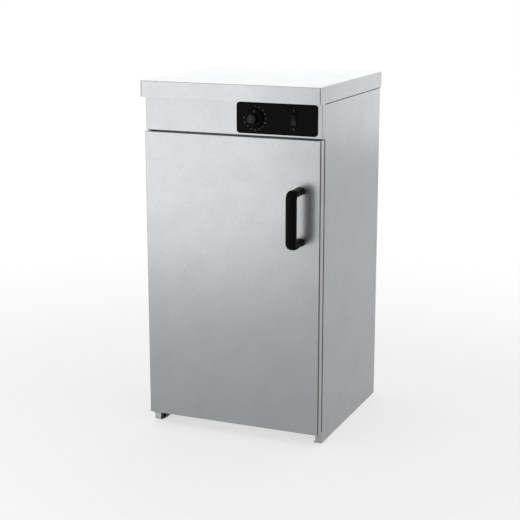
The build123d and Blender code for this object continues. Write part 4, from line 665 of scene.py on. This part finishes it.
fluted_knob()
KNOB_LOW, KNOB_HIGH = box_mm("control_knob")
KNOB_X, KNOB_Z = (KNOB_LOW[0] + KNOB_HIGH[0]) / 2, (KNOB_LOW[2] + KNOB_HIGH[2]) / 2
SKIRT_FACE = 5.0
POINTER_REACH = 16.6
POINTER_HALVES = (0.6, 0.35, 2.7)
POINTER_POWER = 4
pointer_middle = (KNOB_X, KNOB_HIGH[1] - SKIRT_FACE, KNOB_Z + POINTER_REACH)
pebble("knob_pointer", pointer_middle, POINTER_HALVES, POINTER_POWER, "printed_ink", "temperature_knob")

# %% [markdown]
# ## Plate border and printed marks
# The black plate round the controls has a fine raised line near its edge. It is a low half-round bead
# carried round a rectangle with rounded corners. The dial's numbers and ticks and the switch's I and O
# are printed on the plate. Blender's own lettering is made a mesh first and then put in place, 0.05 mm
# thick, which is about what ink adds.

# %% Plate border
def rounded_loop(half_x, half_z, corner, steps=12):
    """Points and outward directions round a rectangle with round corners, one quarter turn at each."""
    quarters = [quarter * math.pi / 2 + np.linspace(0, math.pi / 2, steps) for quarter in range(4)]
    angle = np.concatenate(quarters)
    out = np.stack([np.cos(angle), np.sin(angle)], axis=-1)
    corners = np.array([(1, 1), (-1, 1), (-1, -1), (1, -1)]) * (half_x - corner, half_z - corner)
    return np.repeat(corners, steps, axis=0) + corner * out, out


def framed(name, middle, halves, corner, section, side, finish, body, stands_for=()):
    """Section carried round a rounded rectangle in XZ. It is (outward, height) pairs, side -1 to face -Y."""
    path, out = rounded_loop(halves[0], halves[1], corner)
    outward, height = np.array(section).T
    x = middle[0] + path[:, :1] + out[:, :1] * outward
    z = middle[2] + path[:, 1:] + out[:, 1:] * outward
    y = np.broadcast_to(middle[1] + side * height, x.shape)
    faces = ring_faces(len(path), len(outward), loop=True)
    piece(name, np.stack([x, y, z], axis=-1), faces, finish, body, 35, stands_for)


PLATE_LOW, PLATE_HIGH = box_mm("control_fascia")
BORDER_INSET = 3.1
BORDER_CORNER = 4.9
BEAD_HALF, BEAD_HEIGHT, BEAD_ROOT = 0.6, 0.4, 0.2
bead = np.linspace(0, math.pi, 9)
bead_arc = np.stack([BEAD_HALF * np.cos(bead), BEAD_HEIGHT * np.sin(bead)], axis=1)
BEAD_SECTION = np.concatenate([bead_arc, [(-BEAD_HALF, -BEAD_ROOT), (BEAD_HALF, -BEAD_ROOT)]])
plate_middle = (PLATE_LOW + PLATE_HIGH) / 2 * (1, 0, 1) + (0, PLATE_LOW[1], 0)
plate_halves = (PLATE_HIGH - PLATE_LOW)[[0, 2]] / 2 - BORDER_INSET
framed("plate_border", plate_middle, plate_halves, BORDER_CORNER, BEAD_SECTION, -1,
       "black_moulding", "cabinet")

# %% Printed marks
INK = 0.05
NUMBER_REACH = 27.0
TICK_REACH = 23.6
NUMBER_HEIGHT, TICK_HEIGHT = 2.7, 1.1
SWITCH_MARK_HEIGHT, SWITCH_MARK_GAP = 4, 6
CAPITAL_SHARE = 0.7
DIAL_STEP = 22.5
DIAL_NUMBERS = ["0"] + [str(value) for value in range(30, 90, 5)]


def settled(thing):
    """New mesh of an object as it shows, with its lettering or its modifiers worked out."""
    bpy.context.scene.collection.objects.link(thing)
    bpy.context.view_layer.update()
    return bpy.data.meshes.new_from_object(thing.evaluated_get(bpy.context.evaluated_depsgraph_get()))


def printed(name, marks, face_y):
    """Marks as one thin mesh. Each mark is (text, x, z, height, turn in degrees), upright on a face."""
    points, faces = [], []
    for text, x, z, height, turn in marks:
        curve = bpy.data.curves.new(name, "FONT")
        curve.body = text
        curve.size = height / CAPITAL_SHARE
        curve.extrude = INK
        curve.align_x = "CENTER"
        curve.align_y = "CENTER"
        letter = bpy.data.objects.new(name, curve)
        shape = settled(letter)
        flat = read(shape.vertices, "co", 3)
        corners = read(shape.loops, "vertex_index", kind=int)
        firsts = read(shape.polygons, "loop_start", kind=int)
        cosine, sine = math.cos(math.radians(turn)), math.sin(math.radians(turn))
        across = flat[:, 0] * cosine + flat[:, 1] * sine
        up = flat[:, 1] * cosine - flat[:, 0] * sine
        faces += [face.tolist() for face in np.split(corners + len(points), np.sort(firsts)[1:])]
        points += np.stack([x + across, face_y - flat[:, 2], z + up], axis=1).tolist()
        bpy.data.objects.remove(letter)
        bpy.data.curves.remove(curve)
        bpy.data.meshes.remove(shape)
    piece(name, points, faces, "printed_ink", "cabinet", 30)


angles = [math.radians(DIAL_STEP * number) for number in range(len(DIAL_NUMBERS))]
numbers = [
    (text, KNOB_X + NUMBER_REACH * math.sin(a), KNOB_Z + NUMBER_REACH * math.cos(a), NUMBER_HEIGHT, 0)
    for text, a in zip(DIAL_NUMBERS, angles)
]
ticks = [
    ("I", KNOB_X + TICK_REACH * math.sin(a), KNOB_Z + TICK_REACH * math.cos(a), TICK_HEIGHT, math.degrees(a))
    for a in angles
]
printed("dial_marks", numbers + ticks, PLATE_LOW[1])
SWITCH_LOW, SWITCH_HIGH = box_mm("switch_housing")
switch_x = (SWITCH_LOW[0] + SWITCH_HIGH[0]) / 2
switch_marks = [
    ("I", switch_x, SWITCH_HIGH[2] + SWITCH_MARK_GAP, SWITCH_MARK_HEIGHT, 0),
    ("O", switch_x, SWITCH_LOW[2] - SWITCH_MARK_GAP, SWITCH_MARK_HEIGHT, 0),
]
printed("switch_marks", switch_marks, PLATE_LOW[1])

# %% [markdown]
# ## Door seal
# A silicone seal is extruded in one length with a flat foot and a soft round bead, and its corners are
# curved. It lies on the inner face of the door and closes on the flanges of the heated space. The
# section is drawn once and carried round the door, a hair lower than the gap it closes.

# %% Door seal
SEAL_LOW, SEAL_HIGH = box_mm("door_gasket")
SEAL_WIDTH = 8.0
SEAL_CORNER = 9.0
SEAL_HEIGHT = 3.9
DOME_HALF, DOME_FOOT, DOME_START = 2.7, 1.3, 0.25
dome = np.linspace(DOME_START, math.pi - DOME_START, 15)
dome_rise = DOME_FOOT + (SEAL_HEIGHT - DOME_FOOT) * np.sin(dome)
dome_line = np.stack([DOME_HALF * np.cos(dome), dome_rise], axis=1)
SEAL_SECTION = np.concatenate([
    [(4.0, 0.0), (4.0, 0.7), (3.8, 1.0), (3.1, 1.1), (2.7, 1.3)], dome_line,
    [(-2.7, 1.3), (-3.1, 1.1), (-3.8, 1.0), (-4.0, 0.7), (-4.0, 0.0)],
])
seal_middle = (SEAL_LOW + SEAL_HIGH) / 2 * (1, 0, 1) + (0, SEAL_LOW[1], 0)
seal_halves = (SEAL_HIGH - SEAL_LOW)[[0, 2]] / 2 - SEAL_WIDTH / 2
framed("door_seal", seal_middle, seal_halves, SEAL_CORNER, SEAL_SECTION, 1, "silicone_gasket", "door",
       ["door_gasket"])

# %% [markdown]
# ## Cord gland
# A gland grips the cord where it enters the back panel. It is moulded from nylon: a threaded neck with a
# locknut inside the cabinet, and a hexagon with a ribbed dome nut outside that squeezes a rubber sleeve.
# Every part of it is a radius that depends on the distance along its axis and on the angle, so one grid
# holds the whole piece: along the outside, round the mouth and back through the bore.

# %% Cord gland
FLAT_REACH = 11.0
RIBS = 12
RIB_DEPTH = 0.9
THREAD_PITCH, THREAD_DEPTH = 1.5, 0.35
NUT_START, NUT_END, FLANGE_START, FLANGE_END = 7.0, 12.0, 12.8, 18.8
EDGE = 0.01
THREAD_START = 0.5
RIBS_START, RIBS_END = 19.6, 30.0
RIBS_RISE, RIBS_FALL = 1.0, 1.5
CHAMFER_START, CHAMFER_SLOPE = 0.1, 1.7
GLAND_OUTSIDE = [
    (0.0, 7.2), (0.5, 7.8), (12.8, 7.8), (18.8, 9.9), (19.2, 10.0), (26.0, 9.2), (29.5, 8.2),
    (31.6, 7.3), (32.5, 6.5), (32.8, 5.8),
]
GLAND_INSIDE = [(32.8, 5.0), (31.6, 4.9), (31.5, 4.0), (0.0, 4.0)]


def cord_gland():
    """Radius of a hexagon at angle a: flat / cos(a'), a' being a folded to 30 degrees, cut by a cone.

    Ribs take depth * (0.5 - 0.5 cos(12 a)) ** 3 off the dome, and the thread is a triangle wave.
    """
    low, high = box_mm("cord_gland")
    inner, outer = spaced(GLAND_INSIDE, 3.0), spaced(GLAND_OUTSIDE, 0.25)
    offsets = (0.0, EDGE, 0.8, 5.0, 5.19, 5.2)
    nuts = np.array([(start, offset) for start in (NUT_START, FLANGE_START) for offset in offsets])
    stops = [outer[:, 0], nuts.sum(axis=1), [FLANGE_END, FLANGE_END + EDGE]]
    along = np.unique(np.round(np.concatenate(stops), 3))
    angle = np.linspace(0, 2 * math.pi, RIBS * 12, endpoint=False)
    base = np.interp(along, outer[:, 0], outer[:, 1])
    threaded = (along < NUT_START) & (along > THREAD_START)
    base = base + threaded * THREAD_DEPTH * (np.abs((along / THREAD_PITCH) % 1 - 0.5) * 2 - 1)
    folded = (angle % (math.pi / 3)) - math.pi / 6
    hexagon = FLAT_REACH / np.cos(folded)[None, :]
    locknut = (along > NUT_START + EDGE / 2) & (along <= NUT_END)
    flange = (along > FLANGE_START + EDGE / 2) & (along <= FLANGE_END)
    nut_edge = np.minimum(along - NUT_START, NUT_END - along)
    edge = np.where(locknut, nut_edge, np.minimum(FLANGE_END - along, FLANGE_END - FLANGE_START))
    cone = (FLAT_REACH - CHAMFER_START + CHAMFER_SLOPE * edge)[:, None]
    ribbed = np.clip((along - RIBS_START) / RIBS_RISE, 0, 1) * np.clip((RIBS_END - along) / RIBS_FALL, 0, 1)
    radius = base[:, None] - RIB_DEPTH * np.outer(ribbed, (0.5 - 0.5 * np.cos(RIBS * angle)) ** 3)
    radius = np.where((locknut | flange)[:, None], np.minimum(hexagon, cone), radius)
    radius = np.concatenate([radius, np.repeat(inner[:, 1:], len(angle), axis=1)])
    y = low[1] + np.concatenate([along, inner[:, 0]])
    x = (low[0] + high[0]) / 2 + radius * np.sin(angle)
    z = (low[2] + high[2]) / 2 + radius * np.cos(angle)
    points = np.stack([x, np.broadcast_to(y[:, None], x.shape), z], axis=-1)
    faces = ring_faces(len(y), len(angle), loop=True)
    piece("ribbed_gland", points, faces, "grey_nylon", "cabinet", 35, ["cord_gland"])


cord_gland()

# %% [markdown]
# ## Seams and painted skirt shade
# The worktop is folded from one sheet, so its skirts meet in a fine seam at each corner, filled with
# dark grey sealant. Under the side skirts a thin bead in the same dark grey is painted shade: it stands
# for the shadow that each skirt's overhang casts on the side panel. Both are small. The seams draw the
# dark lines that show where one sheet ends and the next begins.

# %% Seams and painted skirt shade
TOP_LOW, TOP_HIGH = box_mm("worktop")
SIDE_LOW, SIDE_HIGH = box_mm("side_panel_right")
SEAM_HALF, SEAM_DEPTH, SEAM_END_GAP = 0.75, 0.06, 0.3
SEAM_POWER = 6
BEAD_REACH, BEAD_DROP = 1.9, 3.0
SKIRT_SHADE_ROOT, SKIRT_SHADE_LIP, SKIRT_SHADE_END_GAP = 0.4, 0.2, 1
WOBBLE, WOBBLE_LONG, WOBBLE_SHORT = 0.12, 17.0, 5.3
LONG_ROWS = 60
skirt_middle, skirt_half = (TOP_LOW[2] + TOP_HIGH[2]) / 2, (TOP_HIGH[2] - TOP_LOW[2]) / 2
skirt_corners = [(sign, y) for y in (TOP_LOW[1], TOP_HIGH[1]) for sign in (1, -1)]
for number, (sign, y) in enumerate(skirt_corners):
    middle = (sign * (TOP_HIGH[0] - SEAM_HALF), y, skirt_middle)
    halves = (SEAM_HALF, SEAM_DEPTH, skirt_half - SEAM_END_GAP)
    pebble(f"skirt_seam_{number + 1}", middle, halves, SEAM_POWER, "sealant", "cabinet")


def sealant_bead(name, sign):
    """Dark hollow fillet under a side skirt, painted shade for its overhang's shadow: a quarter curve from
    the skirt's lip down to the side panel.
    """
    bow = np.linspace(0, math.pi / 2, 8)
    out = BEAD_REACH * (1 - np.sin(bow))
    down = BEAD_DROP * (1 - np.cos(bow))
    back = [(-SKIRT_SHADE_ROOT, BEAD_DROP), (-SKIRT_SHADE_ROOT, -SKIRT_SHADE_LIP), (BEAD_REACH, -SKIRT_SHADE_LIP)]
    section = np.concatenate([np.stack([out, down], axis=1), back])
    y = np.linspace(SIDE_LOW[1] + SKIRT_SHADE_END_GAP, SIDE_HIGH[1] - SKIRT_SHADE_END_GAP, LONG_ROWS)
    x = np.broadcast_to(sign * (SIDE_HIGH[0] + section[:, 0]), (LONG_ROWS, len(section)))
    wobble = 1 + WOBBLE * np.sin(y / WOBBLE_LONG) * np.sin(y / WOBBLE_SHORT)
    z = TOP_LOW[2] - np.outer(wobble, section[:, 1])
    points = np.stack([x, np.broadcast_to(y[:, None], x.shape), z], axis=-1)
    piece(name, points, ring_faces(LONG_ROWS, len(section)), "sealant", "cabinet", 50)


# Painted shade: a dark grey bead under each side skirt stands for the shadow of the skirt's overhang.
sealant_bead("skirt_shade_right", 1)
sealant_bead("skirt_shade_left", -1)

# %% [markdown]
# ## Painted fold reflection and gap shade
# The door's front fold mirrors its dark surroundings as a thin dark line, and that reflection is painted
# here as a band of dark steel along the fold. Behind the door, the gap at the front fold of each side
# panel lies in shade, and that shade is painted as a thin band in the dark silicone grey. Both are the
# same shape, a thin band round a quarter circle with a flat on each side, so one function draws both
# from the fold's corner and its radius.

# %% Painted fold reflection and gap shade
DOOR_LOW, DOOR_HIGH = box_mm("door_outer_skin")
DOOR_FOLD, SIDE_FOLD = 1.5, 0.75
BAND_LIFT, BAND_ROOT, BAND_END_GAP = 0.07, 0.2, 2
DOOR_REACH, GAP_SHADE_REACH = (0.9, 0.5), (5.0, 1.4)


def fold_band(name, sign, corner, radius, reach, finish, body):
    """Dark band painted round an upright fold: centre + R (sin t, -cos t), t from 0 to a quarter turn, and
    two flats.
    """
    turn = np.linspace(0, math.pi / 2, 9)
    arcs = []
    for big in (radius + BAND_LIFT, radius - BAND_ROOT):
        line = np.stack([big * np.sin(turn), -big * np.cos(turn)], axis=1)
        arcs.append(np.concatenate([[line[0] - (reach[0], 0)], line, [line[-1] + (0, reach[1])]]))
    section = np.concatenate([arcs[0], arcs[1][::-1]]) + (corner[0] - radius, corner[1] + radius)
    z = np.linspace(DOOR_LOW[2] + BAND_END_GAP, DOOR_HIGH[2] - BAND_END_GAP, LONG_ROWS)
    flat = np.broadcast_to(section * (sign, 1), (LONG_ROWS, len(section), 2))
    up = np.broadcast_to(z[:, None, None], (LONG_ROWS, len(section), 1))
    faces = ring_faces(LONG_ROWS, len(section))
    piece(name, np.concatenate([flat, up], axis=-1), faces, finish, body, 50)


# Painted reflection: a dark steel band on the door's front fold stands for the dark line the bend mirrors.
fold_band("door_fold", 1, (DOOR_HIGH[0], DOOR_LOW[1]), DOOR_FOLD, DOOR_REACH, "fold_reflection_steel", "door")
# Painted shade: a band in the dark silicone grey on each side panel's front fold stands for the shaded gap
# behind the door.
for side, sign in (("right", 1), ("left", -1)):
    fold_band(f"painted_gap_shade_{side}", sign, (SIDE_HIGH[0], SIDE_LOW[1]), SIDE_FOLD, GAP_SHADE_REACH,
              "silicone_gasket", "cabinet")

# %% [markdown]
# ## Mineral wool
# Insulation is cut with a knife from a soft board, so its faces are lumpy and its edges are torn. A copy
# of each measured board is merged, remeshed into an even skin, and then every point is pressed inward by
# a smooth sum of sines, which keeps the wool inside the room that its board holds.

# %% Mineral wool
WOOL_VOXEL = 6.0 * MM
WOOL_PRESS = 0.9
WOOL_LUMP = 0.5
SHORT_WAVES, LONG_WAVES = (9.1, 7.7, 8.3), (23.0, 31.0, 19.0)


def wool_board(node):
    """Press in mm: 0.9 + 0.5 * (sin + sin + sin of place over a few centimetres) / 3."""
    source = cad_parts[node]
    mesh = source.data.copy()
    work = bmesh.new()
    work.from_mesh(mesh)
    bmesh.ops.remove_doubles(work, verts=work.verts, dist=MERGE_DISTANCE)
    work.to_mesh(mesh)
    work.free()
    board = bpy.data.objects.new(node + "_wool", mesh)
    remesh = board.modifiers.new("even_skin", "REMESH")
    remesh.mode = "VOXEL"
    remesh.voxel_size = WOOL_VOXEL
    even = settled(board)
    bpy.data.objects.remove(board)
    place, normal = read(even.vertices, "co", 3) / MM, read(even.vertices, "normal", 3)
    across = place[:, [2, 0, 1]]
    lump = np.sin(place / SHORT_WAVES + across / LONG_WAVES).sum(axis=1) / 3
    pressed = place - normal * (WOOL_PRESS + WOOL_LUMP * lump)[:, None]
    faces = read(even.loops, "vertex_index", kind=int).reshape(-1, 4).tolist()
    body = "door" if node.startswith("door") else "cabinet"
    piece(node + "_wool", pressed, faces, "mineral_wool", body, 60, [node])


for name in sorted(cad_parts):
    if "insulation" in name:
        wool_board(name)
